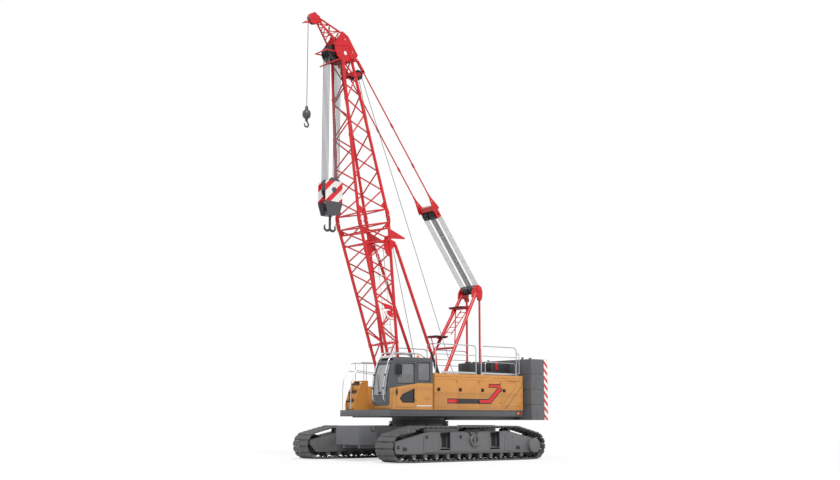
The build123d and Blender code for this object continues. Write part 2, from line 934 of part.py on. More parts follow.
with BuildPart() as backstop_rods:
    for side in (-1, 1):
        centre = side * stop_half_width
        crown = stop_length - 330
        inner_end = on_stop(stop_length - stop_rod_reach, centre, 0)
        bars([(inner_end, on_stop(crown, centre, 0))], stop_rod_radius)
        stop_plate(
            [(crown - 40, -50), (crown - 40, 50), (crown + 20, 50), (crown + 20, -50)],
            centre - 50,
            centre + 50,
        )
        fork(centre, 25 + seat_gap, 25 - seat_gap, crown, stop_length + 60, 45)
save(backstop_rods, "backstop_rods")

# Main falls, hook block and hook
fall_offset = sheave_root + rope_radius + seat_gap
block_z = head_z - fall_length
sheave_rows = [(index - (sheave_count - 1) / 2) * sheave_pitch for index in range(sheave_count)]
with BuildPart() as main_falls:
    runs = []
    for y in sheave_rows:
        for x in (head_x - fall_offset, head_x + fall_offset):
            runs.append(((x, y, block_z), (x, y, head_z)))
    bars(runs, rope_radius, rope_sides)
save(main_falls, "main_falls")

with BuildPart() as hook_block:
    cross_pin(head_x, block_z, 50, -block_half_depth, block_half_depth)
    for y in sheave_rows:
        half = block_sheave_half_width
        cross_pin(head_x, block_z, sheave_root, y - half, y + half)
    for side in (-1, 1):
        low, high = sorted((side * (block_half_depth - 5), side * (block_half_depth + 25)))
        cheek = [
            (head_x - block_half_width, block_z + 330),
            (head_x + block_half_width, block_z + 330),
            (head_x + block_half_width, block_z - 420),
            (head_x + block_half_width - 130, block_z - 900),
            (head_x - block_half_width + 130, block_z - 900),
            (head_x - block_half_width, block_z - 420),
        ]
        side_plate(cheek, low, high)
    block(
        (head_x - 150, -block_half_depth, block_z - 900),
        (head_x + 150, block_half_depth, block_z - 720),
    )
    post(head_x, 0, 45 + pin_gap, block_z - 910, block_z - 710, Mode.SUBTRACT)
save(hook_block, "hook_block")

hook_centre = block_z - 1330
with BuildPart() as main_hook:
    post(head_x, 0, 45, hook_centre + 60, block_z - 700)
    post(head_x, 0, 80, block_z - 720 + seat_gap, block_z - 640)
    for side in (-1, 1):
        with BuildSketch(Plane.XZ) as outline:
            with Locations((head_x + side * 115, hook_centre)):
                Circle(165)
                Circle(80, mode=Mode.SUBTRACT)
                with Locations((side * 90, 150)):
                    Rectangle(190, 210, mode=Mode.SUBTRACT)
        extrude(outline.sketch, amount=40, both=True)
save(main_hook, "main_hook")

# Auxiliary rope, weight and hook
aux_x = tip[0] + aux_sheave_radius + rope_radius + seat_gap
ball_top = tip[1] - aux_rope_length
with BuildPart() as aux_rope:
    post(aux_x, 0, rope_radius, ball_top, tip[1])
save(aux_rope, "aux_rope")

with BuildPart() as aux_weight:
    post(aux_x, 0, 60, ball_top - 160, ball_top)
    post(aux_x, 0, 150, ball_top - 460, ball_top - 160)
    post(aux_x, 0, 60, ball_top - 520, ball_top - 460)
    post(aux_x, 0, 30 + pin_gap, ball_top - 530, ball_top - 420, Mode.SUBTRACT)
save(aux_weight, "aux_weight")

aux_centre = ball_top - 690
with BuildPart() as aux_hook:
    post(aux_x, 0, 30, aux_centre + 90, ball_top - 420 - seat_gap)
    post(aux_x, 0, 50, ball_top - 570, ball_top - 520 - seat_gap)
    with BuildSketch(Plane.XZ) as outline:
        with Locations((aux_x, aux_centre)):
            Circle(115)
            Circle(62, mode=Mode.SUBTRACT)
            with Locations((80, 70)):
                Rectangle(110, 90, mode=Mode.SUBTRACT)
    extrude(outline.sketch, amount=28, both=True)
save(aux_hook, "aux_hook")

# Machinery houses
door_low = deck_top + 60
door_high = house_top - 120
hinge_radius = 14
hinge_inset = hinge_radius - 1
hinge_stand = hinge_radius + 2
hinge_heights = (door_low + 180, door_high - 180)


def house(side, door_count):
    """Shell with an opening behind each door."""
    door_width = (house_front - house_rear) / door_count
    low, high = sorted((side * house_inner, side * house_side))
    block((house_rear, low, deck_top), (house_front, high, house_top))
    inner_low, inner_high = sorted(
        (side * (house_inner + house_wall), side * (house_side - 2 * house_wall - move_gap))
    )
    block(
        (house_rear + house_wall, inner_low, deck_top + house_wall),
        (house_front - house_wall, inner_high, house_top - house_wall),
        Mode.SUBTRACT,
    )
    inner_low, inner_high = sorted((side * (house_inner + house_wall), side * (house_side + 10)))
    for index in range(door_count):
        rear = house_rear + index * door_width
        block(
            (rear + 70, inner_low, door_low + 40),
            (rear + door_width - 70, inner_high, door_high - 40),
            Mode.SUBTRACT,
        )
    recess_low, recess_high = sorted(
        (side * (house_side - house_wall - move_gap), side * (house_side + 10))
    )
    block(
        (house_rear + 30, recess_low, door_low - move_gap),
        (house_front - 30, recess_high, door_high + move_gap),
        Mode.SUBTRACT,
    )


def hinge_lugs(side, door_count):
    """Fixed half of each door hinge."""
    door_width = (house_front - house_rear) / door_count
    for index in range(door_count):
        hinge_x = house_rear + index * door_width + 40 + hinge_inset
        for height in hinge_heights:
            low, high = sorted(
                (side * (house_side - house_wall - move_gap - 5), side * (house_side + hinge_stand))
            )
            block((hinge_x - 6, low, height), (hinge_x + 6, high, height + 60))
            post(hinge_x, side * (house_side + hinge_stand), hinge_radius, height, height + 60)


def house_door(side, door_count, index):
    """One door panel with the moving half of its hinge."""
    door_width = (house_front - house_rear) / door_count
    rear = house_rear + index * door_width + 40
    hinge_x = rear + hinge_inset
    front = rear + door_width - move_gap
    if index == door_count - 1:
        front = house_front - 30 - move_gap
    low, high = sorted((side * (house_side - house_wall), side * house_side))
    block((rear, low, door_low), (front, high, door_high))
    for height in hinge_heights:
        block(
            (rear - 5, low - 5, height - move_gap),
            (hinge_x + hinge_radius + move_gap, high + 5, height + 60 + move_gap),
            Mode.SUBTRACT,
        )
        post(
            hinge_x,
            side * (house_side + hinge_stand),
            hinge_radius,
            height + 60 + seat_gap,
            height + 120,
        )
        leaf_low, leaf_high = sorted((side * house_side, side * (house_side + hinge_stand)))
        block(
            (hinge_x, leaf_low, height + 60 + move_gap),
            (hinge_x + 40, leaf_high, height + 120),
        )


for side, name in ((1, "left"), (-1, "right")):
    with BuildPart() as house_shell:
        house(side, door_counts[name])
        hinge_lugs(side, door_counts[name])
    save(house_shell, f"house_{name}")
    for index in range(door_counts[name]):
        with BuildPart() as panel:
            house_door(side, door_counts[name], index)
        save(panel, f"house_door_{name}_{door_counts[name] - index}")

with BuildPart() as engine:
    block((-3300, -1400, deck_top + house_wall), (-1900, -900, 2750))
save(engine, "engine")

# Cab
cab_side = [
    (cab_rear, deck_top),
    (cab_front - 180, deck_top),
    (cab_front - 30, 2050),
    (cab_front, 2450),
    (cab_front - 70, 2950),
    (cab_front - 230, 3450),
    (cab_front - 420, cab_top),
    (cab_rear + 80, cab_top),
    (cab_rear, cab_top - 80),
]
door_front = cab_front - 330
door_rear = cab_pillar
pane_inset = 90
door_pane_low = 2680
door_pane_high = 3380
pane_middle = cab_outer - cab_wall / 2
cab_door_low = deck_top + 70
cab_door_high = cab_top - 130
with BuildPart() as cab:
    side_plate(cab_side, cab_inner, cab_outer)
    with BuildSketch(Plane.XZ.offset(-cab_outer + cab_wall)) as hollow:
        Polygon(*cab_side, align=None)
        offset(amount=-cab_wall, mode=Mode.REPLACE)
    extrude(hollow.sketch, amount=cab_outer - cab_inner - 2 * cab_wall, mode=Mode.SUBTRACT)
    block(
        (door_rear, cab_outer - cab_wall - 10, cab_door_low),
        (door_front, cab_outer + 10, cab_door_high),
        Mode.SUBTRACT,
    )
    block((cab_front - 500, cab_inner + 90, 2250), (cab_front + 50, cab_outer - 90, 3360), Mode.SUBTRACT)
    block((cab_rear + 130, cab_outer - 100, 2780), (door_rear - 80, cab_outer + 10, 3430), Mode.SUBTRACT)
    block((cab_rear + 130, cab_inner - 10, 2780), (door_front - 80, cab_inner + 100, 3430), Mode.SUBTRACT)
    block((cab_rear - 10, cab_inner + 130, 2780), (cab_rear + 100, cab_outer - 130, 3400), Mode.SUBTRACT)
save(cab, "cab")

with BuildPart() as cab_glass:
    inset = seat_gap
    mid = cab_wall / 2
    with BuildSketch(Plane.XZ.offset(-cab_outer + 90 + inset)) as pane:
        Polygon(*cab_side, align=None)
        offset(amount=-mid, mode=Mode.REPLACE)
        with BuildSketch(mode=Mode.PRIVATE) as core:
            Polygon(*cab_side, align=None)
            offset(amount=-mid - 8, mode=Mode.REPLACE)
        add(core.sketch, mode=Mode.SUBTRACT)
    extrude(pane.sketch, amount=cab_outer - cab_inner - 180 - 2 * inset)
    block(
        (cab_front - 500 + inset, cab_inner, 2250 + inset),
        (cab_front + 50, cab_outer, 3360 - inset),
        Mode.INTERSECT,
    )
    block(
        (cab_rear + 130 + inset, cab_outer - mid - 4, 2780 + inset),
        (door_rear - 80 - inset, cab_outer - mid + 4, 3430 - inset),
    )
    block(
        (cab_rear + 130 + inset, cab_inner + mid - 4, 2780 + inset),
        (door_front - 80 - inset, cab_inner + mid + 4, 3430 - inset),
    )
    block(
        (cab_rear + mid - 4, cab_inner + 130 + inset, 2780 + inset),
        (cab_rear + mid + 4, cab_outer - 130 - inset, 3400 - inset),
    )
save(cab_glass, "cab_glass")

door_hinges = (cab_door_low + 200, cab_door_high - 260)
with BuildPart() as cab_door:
    block(
        (door_rear + move_gap, cab_outer - cab_wall, cab_door_low + move_gap),
        (door_front - move_gap, cab_outer, cab_door_high - move_gap),
    )
    block(
        (door_rear + pane_inset, cab_outer - 60, door_pane_low),
        (door_front - pane_inset, cab_outer + 10, door_pane_high),
        Mode.SUBTRACT,
    )
    lower_pane = [
        (door_rear + pane_inset, 2020),
        (door_rear + pane_inset, 2500),
        (door_front - 330, 2300),
        (door_front - 200, 2150),
        (door_front - 330, 2020),
    ]
    side_plate(
        lower_pane,
        cab_outer - 60,
        cab_outer + 10,
        Mode.SUBTRACT,
    )
    for height in door_hinges:
        block(
            (door_rear, cab_outer, height + 60 + seat_gap),
            (door_rear + 60, cab_outer + 26, height + 120),
        )
save(cab_door, "cab_door")

with BuildPart() as cab_door_glass:
    block(
        (door_rear + pane_inset + seat_gap, pane_middle - 4, door_pane_low + seat_gap),
        (door_front - pane_inset - seat_gap, pane_middle + 4, door_pane_high - seat_gap),
    )
save(cab_door_glass, "cab_door_glass")

with BuildPart() as cab_seat:
    block((1050, 830, deck_top + cab_wall), (1450, 1230, 2200))
    block((980, 800, 2200), (1520, 1260, 2330))
    block((930, 800, 2330), (1060, 1260, 2950))
save(cab_seat, "cab_seat")

# Right front steps
with BuildPart() as steps:
    block((600, -deck_half_width, deck_top), (2300, -900, 2250))
    block((600, -deck_half_width, 2250), (2000, -900, 2650))
save(steps, "steps")

# Winches between the houses
winches = [(-2150, 2560, 330), (-1150, 2350, 300), (-300, 2250, 260)]
with BuildPart() as winch_set:
    for x, z, radius in winches:
        cross_pin(x, z, radius - 60, -480, 480)
        for low, high in ((-480, -440), (440, 480)):
            cross_pin(x, z, radius, low, high)
        for low, high in ((-540, -480), (480, 540)):
            block((x - 160, low, deck_top), (x + 160, high, z + 120))
save(winch_set, "winches")

# Counterweight
for index in range(weight_plate_count):
    low = weight_plate_low + index * weight_plate_height
    with BuildPart() as slab:
        block(
            (weight_plate_rear, -weight_plate_half_width, low),
            (weight_plate_front, weight_plate_half_width, low + weight_plate_height),
        )
        if index == 0:
            block(
                (weight_plate_front, -girder_half_width, low),
                (-deck_rear, girder_half_width, low + 300),
            )
    save(slab, f"counterweight_{index + 1}")

with BuildPart() as stripe_plates:
    for side in (-1, 1):
        low, high = sorted(
            (side * (weight_plate_half_width - stripe_plate_thickness), side * weight_plate_half_width)
        )
        block(
            (weight_plate_rear - stripe_plate_reach, low, weight_plate_low),
            (weight_plate_rear, high, weight_plate_low + weight_plate_height * weight_plate_count),
        )
save(stripe_plates, "stripe_plates")

print("boom head", [round(value) for value in on_boom(head_along, 0, head_ahead)])
print("pendant eye", round(eye_x), round(eye_z), "line", round(line_length))
print("backstop pin", round(stop_x), round(stop_z), "length", round(stop_length))
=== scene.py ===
# %% [markdown]
# # A crawler crane, dressed for the camera
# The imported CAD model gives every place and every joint. This lesson builds the visible
# pieces round it: paint, rope, lattice, glass and rubber. Each cell first says what the real
# piece is, how it could be made, and why it is made this way.

import math

import bmesh
import bpy
from mathutils import Matrix, Vector


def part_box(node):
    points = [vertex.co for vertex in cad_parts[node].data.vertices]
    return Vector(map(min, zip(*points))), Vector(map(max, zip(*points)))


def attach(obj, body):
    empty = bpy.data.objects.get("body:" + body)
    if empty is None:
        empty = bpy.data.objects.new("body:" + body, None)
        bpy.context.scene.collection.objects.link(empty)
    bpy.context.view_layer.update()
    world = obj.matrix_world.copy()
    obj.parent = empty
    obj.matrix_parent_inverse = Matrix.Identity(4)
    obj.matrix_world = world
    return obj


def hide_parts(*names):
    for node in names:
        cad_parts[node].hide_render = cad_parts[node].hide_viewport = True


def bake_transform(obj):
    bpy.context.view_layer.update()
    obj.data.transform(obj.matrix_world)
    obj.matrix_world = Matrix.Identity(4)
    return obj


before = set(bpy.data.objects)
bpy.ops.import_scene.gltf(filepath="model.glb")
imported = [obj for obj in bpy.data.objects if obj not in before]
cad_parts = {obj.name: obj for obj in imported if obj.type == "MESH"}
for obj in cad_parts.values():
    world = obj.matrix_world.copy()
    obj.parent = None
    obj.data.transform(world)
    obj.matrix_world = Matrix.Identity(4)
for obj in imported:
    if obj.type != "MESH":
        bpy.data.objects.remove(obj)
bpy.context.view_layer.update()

# %% [markdown]
# The camera stands where the photographer stood: low, in front and to the left of the crane,
# looking slightly up. Its lens was fitted to known sizes of the crane, so it needs no shift.

# %% Camera
camera_place = (25.774, 31.739, 1.401)
camera_tilt, camera_heading = 9.363, -129.14
camera_data = bpy.data.cameras.new("camera")
camera_data.sensor_fit = "HORIZONTAL"
camera_data.sensor_width = 36
camera_data.lens = 46.87
camera_data.clip_end = 500
camera = bpy.data.objects.new("camera", camera_data)
camera.location = camera_place
camera.rotation_euler = (math.radians(90 + camera_tilt), 0, math.radians(camera_heading - 90))
bpy.context.scene.collection.objects.link(camera)
bpy.context.scene.camera = camera
print("camera", camera_place)

# %% [markdown]
# Shader maths reads badly as a list of nodes and links, so a small class wraps a socket and
# lets `1 - mask * 0.3` add the Math nodes by itself. A second class holds one material: it
# makes any other node from its type, its settings and its inputs.

# %% A socket that does maths
class Wire:
    """One output socket of a material, which Python's operators work on."""

    def __init__(self, finish, socket):
        self.finish = finish
        self.socket = socket

    def maths(self, operation, *values, clamp=False):
        settings = {"operation": operation, "use_clamp": clamp}
        return self.finish.node("ShaderNodeMath", settings, dict(enumerate(values)))

    def __add__(self, other):
        return self.maths("ADD", self, other)

    def __sub__(self, other):
        return self.maths("SUBTRACT", self, other)

    def __rsub__(self, other):
        return self.maths("SUBTRACT", other, self)

    def __mul__(self, other):
        return self.maths("MULTIPLY", self, other)

    def __gt__(self, other):
        return self.maths("GREATER_THAN", self, other)

    def __lt__(self, other):
        return self.maths("LESS_THAN", self, other)

    __radd__ = __add__
    __rmul__ = __mul__

    def clamped(self):
        return self.maths("ADD", self, 0, clamp=True)

    def between(self, low, high):
        """1 where the value lies between two limits, else 0."""
        return (self > low) * (self < high)

    def ramp(self, low, high):
        """0 below one limit, 1 above the other, and smooth from one to the other."""
        settings = {"interpolation_type": "SMOOTHSTEP"}
        values = {"Value": self, "From Min": low, "From Max": high}
        return self.finish.node("ShaderNodeMapRange", settings, values)

    def axis(self, name):
        """One coordinate of a position."""
        split = self.finish.node("ShaderNodeSeparateXYZ", {}, {0: self})
        return Wire(self.finish, split.socket.node.outputs[name])


# %% A finish
def tone(red, green, blue):
    """A colour as it is read off a screen, from 0 to 255, in the linear values that shaders use."""
    shares = [value / 255 for value in (red, green, blue)]
    linear = [share / 12.92 if share < 10 / 255 else ((share + 0.055) / 1.055) ** 2.4 for share in shares]
    return (*linear, 1)


class Tree:
    """A node tree that nodes are added to by their type, their settings and their inputs."""

    def __init__(self, tree):
        self.tree = tree

    def node(self, kind, settings, values, output=0):
        """Add a node with its settings first and its values or links next."""
        made = self.tree.nodes.new(kind)
        for key, value in settings.items():
            setattr(made, key, value)
        for key, value in values.items():
            if isinstance(value, Wire):
                self.tree.links.new(value.socket, made.inputs[key])
            else:
                made.inputs[key].default_value = value
        return Wire(self, made.outputs[output])


class Finish(Tree):
    """One material round a Principled shader."""

    def __init__(self, name, colour, roughness=0.5, metallic=0.0, coat=0.0):
        self.material = bpy.data.materials.new(name)
        self.material.use_nodes = True
        super().__init__(self.material.node_tree)
        self.shader = self.tree.nodes["Principled BSDF"]
        self.colour = colour
        self.set(Base_Color=colour, Roughness=roughness, Metallic=metallic)
        self.set(Coat_Weight=coat, Coat_Roughness=0.2)
        self.place = self.node("ShaderNodeTexCoord", {}, {}, output="Object")
        self.facing = self.node("ShaderNodeTexCoord", {}, {}, output="Normal")

    def noise(self, scale, detail=3.0, stretch=(1, 1, 1)):
        """Soft random blotches, from 0 to 1."""
        place = self.place
        if stretch != (1, 1, 1):
            place = self.node("ShaderNodeMapping", {}, {"Vector": place, "Scale": stretch})
        return self.node("ShaderNodeTexNoise", {}, {"Vector": place, "Scale": scale, "Detail": detail})

    def over(self, share, base, colour):
        """One colour laid over another by a mask."""
        return self.node("ShaderNodeMix", {"data_type": "RGBA"}, {0: share, 6: base, 7: colour}, output=2)

    def shaded(self, colour, share):
        """The colour times a grey value."""
        grey = self.node("ShaderNodeCombineXYZ", {}, {0: share, 1: share, 2: share})
        settings = {"data_type": "RGBA", "blend_type": "MULTIPLY"}
        return self.node("ShaderNodeMix", settings, {0: 1.0, 6: colour, 7: grey}, output=2)

    def set(self, **sockets):
        """Link or set the shader's own sockets, named with underscores for spaces."""
        for key, value in sockets.items():
            target = self.shader.inputs[key.replace("_", " ")]
            if isinstance(value, Wire):
                self.tree.links.new(value.socket, target)
            else:
                target.default_value = value
        return self

    def bump(self, height, strength=0.3, distance=0.002):
        """Small relief that only bends the light."""
        values = {"Height": height, "Strength": strength, "Distance": distance}
        return self.set(Normal=self.node("ShaderNodeBump", {}, values))

    def orange_peel(self, scale=220):
        """The fine skin of sprayed paint."""
        return self.bump(self.noise(scale, 1.0), 0.05, 0.0006)


# %% [markdown]
# Painted steel is never one flat colour. The paint has a fine orange-peel skin, slow changes
# from panel to panel, faint streaks where rain ran down, and dust on whatever faces up. One
# function mixes those four, so every painted piece ages alike and only its colour differs.

# %% Painted steel
dust_tone = tone(176, 168, 155)


def painted(name, colour, roughness=0.36, coat=0.25, dust=0.25, streak=0.12):
    """Paint with slow colour changes, rain streaks and dust."""
    finish = Finish(name, colour, roughness, coat=coat)
    clouds = finish.noise(0.9, 2.0)
    streaks = finish.noise(3.0, 3.0, stretch=(4, 4, 0.35)).ramp(0.5, 0.75)
    up = finish.facing.axis("Z").ramp(0.55, 0.95)
    specks = finish.noise(14, 4.0).ramp(0.35, 0.7)
    skin = finish.shaded(finish.colour, 0.93 + clouds * 0.14 - streaks * streak)
    settled = up * specks * dust
    finish.set(
        Base_Color=finish.over(settled, skin, dust_tone),
        Roughness=(roughness - 0.04 + clouds * 0.08 + settled * 0.5).clamped(),
    )
    return finish.orange_peel()


boom_red = painted("boom_red_paint", tone(204, 14, 26), 0.36, 0.15, 0.08, 0.14)
frame_paint = painted("undercarriage_grey_paint", tone(98, 98, 100), 0.45, 0.12, 0.3, 0.2)
deck_paint = painted("deck_grey_paint", tone(86, 87, 90), 0.42, 0.15, 0.3, 0.18)
slab_paint = painted("counterweight_grey_paint", tone(92, 93, 96), 0.5, 0.08, 0.3, 0.22)
sheave_black = painted("sheave_black_paint", tone(34, 34, 37), 0.42, 0.15, 0.2, 0.1)
machine_black = painted("machinery_black_paint", tone(44, 45, 48), 0.48, 0.1, 0.3, 0.15)
block_grey = painted("hook_block_grey_paint", tone(70, 71, 74), 0.42, 0.15, 0.15, 0.12)
step_black = painted("tread_black_paint", tone(38, 38, 40), 0.6, 0.05, 0.3, 0.1)
white_trim = painted("white_trim_paint", tone(226, 224, 220), 0.4, 0.2, 0.1, 0.05)
print("painted finishes", len(bpy.data.materials))

# %% [markdown]
# Track shoes and rollers are cast steel. Their paint goes first where steel rubs on steel, so
# brown dust lies in the hollows and the high spots shine. Two noises do that: a coarse one
# for the dirt and a fine one for the grain of the casting.

# %% Cast and worn steel
def cast(name, colour, shine, dirt):
    """Cast steel with grain, dry soil in patches and rubbed spots."""
    finish = Finish(name, colour, 0.6, metallic=0.2)
    patches = finish.noise(3.5, 4.0).ramp(0.42, 0.68)
    rubbed = finish.noise(18, 3.0).ramp(0.58, 0.72) * shine
    grain = finish.noise(160, 3.0)
    soiled = finish.over(patches * dirt, finish.shaded(colour, 0.85 + grain * 0.3), tone(128, 122, 114))
    finish.set(
        Base_Color=finish.over(rubbed, soiled, tone(168, 168, 170)),
        Roughness=(0.62 + patches * 0.2 - rubbed * 0.3).clamped(),
        Metallic=(0.2 + rubbed * 0.5 - patches * 0.2).clamped(),
    )
    return finish.bump(grain, 0.25, 0.002)


track_steel = cast("track_shoe_steel", tone(84, 84, 87), 0.3, 0.18)
wheel_steel = cast("track_wheel_steel", tone(74, 74, 76), 0.6, 0.22)
forged_steel = cast("forged_hook_steel", tone(60, 61, 64), 0.5, 0.05)


def bare(name, colour, roughness):
    """Bare bright metal with fine draw marks."""
    finish = Finish(name, colour, roughness, metallic=0.9)
    marks = finish.noise(90, 2.0)
    finish.set(
        Base_Color=finish.shaded(colour, 0.88 + marks * 0.24),
        Roughness=(roughness - 0.08 + marks * 0.16).clamped(),
    )
    return finish.bump(marks, 0.08, 0.0005)


rail_silver = bare("rail_silver", tone(196, 198, 202), 0.34)
rod_chrome = bare("rod_chrome", tone(214, 216, 220), 0.14)

# %% [markdown]
# Wire rope is six strands laid round a core. Modelling each strand would cost more faces
# than the whole boom, so the rope is a plain tube whose surface map carries the lay: the map
# runs in metres along the rope and once round it, and a sine of both draws the strands.

# %% Wire rope
rope_steel = Finish("wire_rope", tone(124, 125, 129), 0.5, metallic=0.35)
rope_map = rope_steel.node("ShaderNodeTexCoord", {}, {}, output="UV")
strand_wave = rope_steel.node(
    "ShaderNodeMath",
    {"operation": "SINE"},
    {0: rope_map.axis("X") * (2 * math.pi / 0.14) + rope_map.axis("Y") * (6 * 2 * math.pi)},
)
rope_steel.set(Base_Color=rope_steel.shaded(rope_steel.colour, 0.8 + strand_wave * 0.2))
rope_steel.bump(strand_wave, 0.6, 0.002)

# %% [markdown]
# Rubber, seat cloth, lamp plastic and glass finish the list. Glass is thin and clear with a
# faint tint. It is a plain transparent shader mixed with a gloss one, because light has to
# pass it twice to show the seat inside.

# %% Rubber, cloth, lamps and glass
rubber = Finish("black_rubber", tone(24, 24, 26), 0.75)
rubber.bump(rubber.noise(300, 2.0), 0.15, 0.0006)

seat_cloth = Finish("seat_cloth", tone(52, 53, 58), 0.9)
weave = seat_cloth.node("ShaderNodeTexVoronoi", {}, {"Vector": seat_cloth.place, "Scale": 260.0})
seat_cloth.set(Base_Color=seat_cloth.shaded(seat_cloth.colour, 0.75 + weave * 0.5))
seat_cloth.bump(weave, 0.4, 0.001)


def lamp(name, colour, roughness=0.2, relief=0.2):
    """Lamp plastic with a moulded pattern."""
    finish = Finish(name, colour, roughness, coat=0.8)
    return finish.bump(finish.noise(60, 1.0), relief, 0.002)


lamp_amber = lamp("lamp_amber", tone(240, 150, 20))
lamp_red = lamp("lamp_red", tone(205, 24, 20))
lamp_clear = lamp("lamp_clear", tone(225, 228, 232), 0.12, 0.3)

glass = Finish("window_glass", tone(184, 186, 188), 0.04, coat=0.5)
smear = glass.noise(5, 3.0).ramp(0.4, 0.8)
side_pane = glass.place.axis("Y") > 1.44
glass.set(
    Base_Color=glass.over(side_pane, glass.colour, tone(132, 134, 138)),
    Alpha=0.64 + smear * 0.06 - side_pane * 0.14,
    Roughness=0.03 + smear * 0.05,
)
low_glass = Finish("tinted_low_pane", tone(20, 22, 26), 0.08, coat=0.3)
low_glass.set(Roughness=0.06 + low_glass.noise(5, 3.0) * 0.08)
print("finishes", len(bpy.data.materials))

# %% [markdown]
# Nearly every piece is a handful of plates, bars and turned parts. The class below collects
# them in one bmesh: a box is a stretched cube, a bar is a cone with equal ends, a plate is a
# filled outline that is extruded, and a turned part is a profile that is spun.

# %% A shape made of simple parts
def at(axis, low, a, b):
    """A point of a flat outline that faces along an axis."""
    return Vector({"X": (low, a, b), "Y": (a, low, b), "Z": (a, b, low)}[axis])


def polar(x, y, radius, angle):
    """The point of a circle at an angle."""
    return (x + radius * math.cos(angle), y + radius * math.sin(angle))


def ring(x, y, radius, sides=20):
    """Points of a circle, for an outline or a hole."""
    return [polar(x, y, radius, 2 * math.pi * index / sides) for index in range(sides)]


def mirrored(half):
    """A profile and its mirror image, joined at the middle of the part."""
    return half + [(radius, -along) for radius, along in reversed(half) if along]


def sided(profile, side):
    """A profile that points to one side of the crane."""
    return [(radius, side * along) for radius, along in profile]


def shifted(outline, x, z):
    """An outline moved to a place."""
    return [(x + across, z + height) for across, height in outline]


def flipped(outline, end):
    """An outline that points to the front or to the rear."""
    return [(end * x, z) for x, z in outline]


class Shape:
    """A bmesh that simple parts are added to."""

    def __init__(self):
        self.mesh = bmesh.new()

    def box(self, low, high, turn=None, edge=0.0):
        """A block between two corners, turned about its middle, with softened edges."""
        low, high = [Vector([pick(*pair) for pair in zip(low, high)]) for pick in (min, max)]
        size = Matrix.Diagonal((*(high - low), 1))
        place = Matrix.Translation((low + high) / 2) @ (turn.to_4x4() if turn else Matrix())
        made = bmesh.ops.create_cube(self.mesh, size=1, matrix=place @ size)
        if edge:
            edges = list({e for v in made["verts"] for e in v.link_edges})
            bmesh.ops.bevel(
                self.mesh, geom=edges, offset=edge, offset_type="OFFSET", affect="EDGES",
                segments=2, profile=0.5, material=-1, clamp_overlap=True,
            )
        return self

    def bar(self, start, end, radius, tip=None, sides=16):
        """A round bar between two points, which may taper."""
        start, end = Vector(start), Vector(end)
        run = end - start
        place = Matrix.Translation((start + end) / 2) @ run.to_track_quat("Z", "X").to_matrix().to_4x4()
        bmesh.ops.create_cone(
            self.mesh, cap_ends=True, segments=sides, radius1=radius,
            radius2=radius if tip is None else tip, depth=run.length, matrix=place,
        )
        return self

    def crossbar(self, centre, half, radius, sides=20):
        """A round bar across the crane, centred on a point."""
        reach = Vector((0, half, 0))
        return self.bar(Vector(centre) - reach, Vector(centre) + reach, radius, sides=sides)

    def plate(self, outline, axis, low, high, holes=()):
        """A plate with round holes, drawn in the plane that an axis crosses."""
        low, high = sorted((low, high))
        edges = []
        for loop in (outline, *(ring(*hole) for hole in holes)):
            corners = [self.mesh.verts.new(at(axis, low, *point)) for point in loop]
            edges += [self.mesh.edges.new(pair) for pair in zip(corners, corners[1:] + corners[:1])]
        filled = bmesh.ops.triangle_fill(self.mesh, use_beauty=True, use_dissolve=False, edges=edges)
        faces = [item for item in filled["geom"] if isinstance(item, bmesh.types.BMFace)]
        pushed = bmesh.ops.extrude_face_region(self.mesh, geom=faces)
        corners = [item for item in pushed["geom"] if isinstance(item, bmesh.types.BMVert)]
        bmesh.ops.translate(self.mesh, verts=corners, vec=at(axis, high - low, 0, 0))
        return self

    def turned(self, profile, centre, axis, sides=32):
        """A turned part: (radius, along) points spun round an axis through its centre."""
        lane = {"X": (1, 0, 0), "Y": (0, 1, 0), "Z": (0, 0, 1)}[axis]
        out = {"X": (0, 0, 1), "Y": (0, 0, 1), "Z": (1, 0, 0)}[axis]
        centre, lane, out = Vector(centre), Vector(lane), Vector(out)
        part = bmesh.new()
        line = [part.verts.new(centre + out * radius + lane * along) for radius, along in profile]
        edges = [part.edges.new(pair) for pair in zip(line, line[1:])]
        bmesh.ops.spin(
            part, geom=line + edges, cent=centre, axis=lane, angle=2 * math.pi,
            steps=sides, use_merge=True, use_duplicate=False,
        )
        bmesh.ops.remove_doubles(part, verts=part.verts[:], dist=1e-6)
        mesh = bpy.data.meshes.new("turned")
        part.to_mesh(mesh)
        part.free()
        self.mesh.from_mesh(mesh)
        bpy.data.meshes.remove(mesh)
        return self

    def stamp(self, mesh, place):
        """A copy of a finished mesh, put down at a place."""
        copy = mesh.copy()
        copy.transform(place)
        self.mesh.from_mesh(copy)
        bpy.data.meshes.remove(copy)
        return self

    def both(self):
        """The same again on the other side of the crane."""
        everything = self.mesh.verts[:] + self.mesh.edges[:] + self.mesh.faces[:]
        copy = bmesh.ops.duplicate(self.mesh, geom=everything)
        corners = [item for item in copy["geom"] if isinstance(item, bmesh.types.BMVert)]
        bmesh.ops.scale(self.mesh, vec=(1, -1, 1), verts=corners)
        return self

    def to_mesh(self, name):
        """The finished mesh, with its faces turned outwards."""
        bmesh.ops.recalc_face_normals(self.mesh, faces=self.mesh.faces[:])
        mesh = bpy.data.meshes.new(name)
        self.mesh.to_mesh(mesh)
        self.mesh.free()
        return mesh


# %% [markdown]
# Bent rails, hoses and hooks follow a line, so they start as curves. A curve object rounds
# the corners and carries a radius at each point; its evaluated mesh is what is kept, because
# the finished piece has to be a mesh with its place in its points.

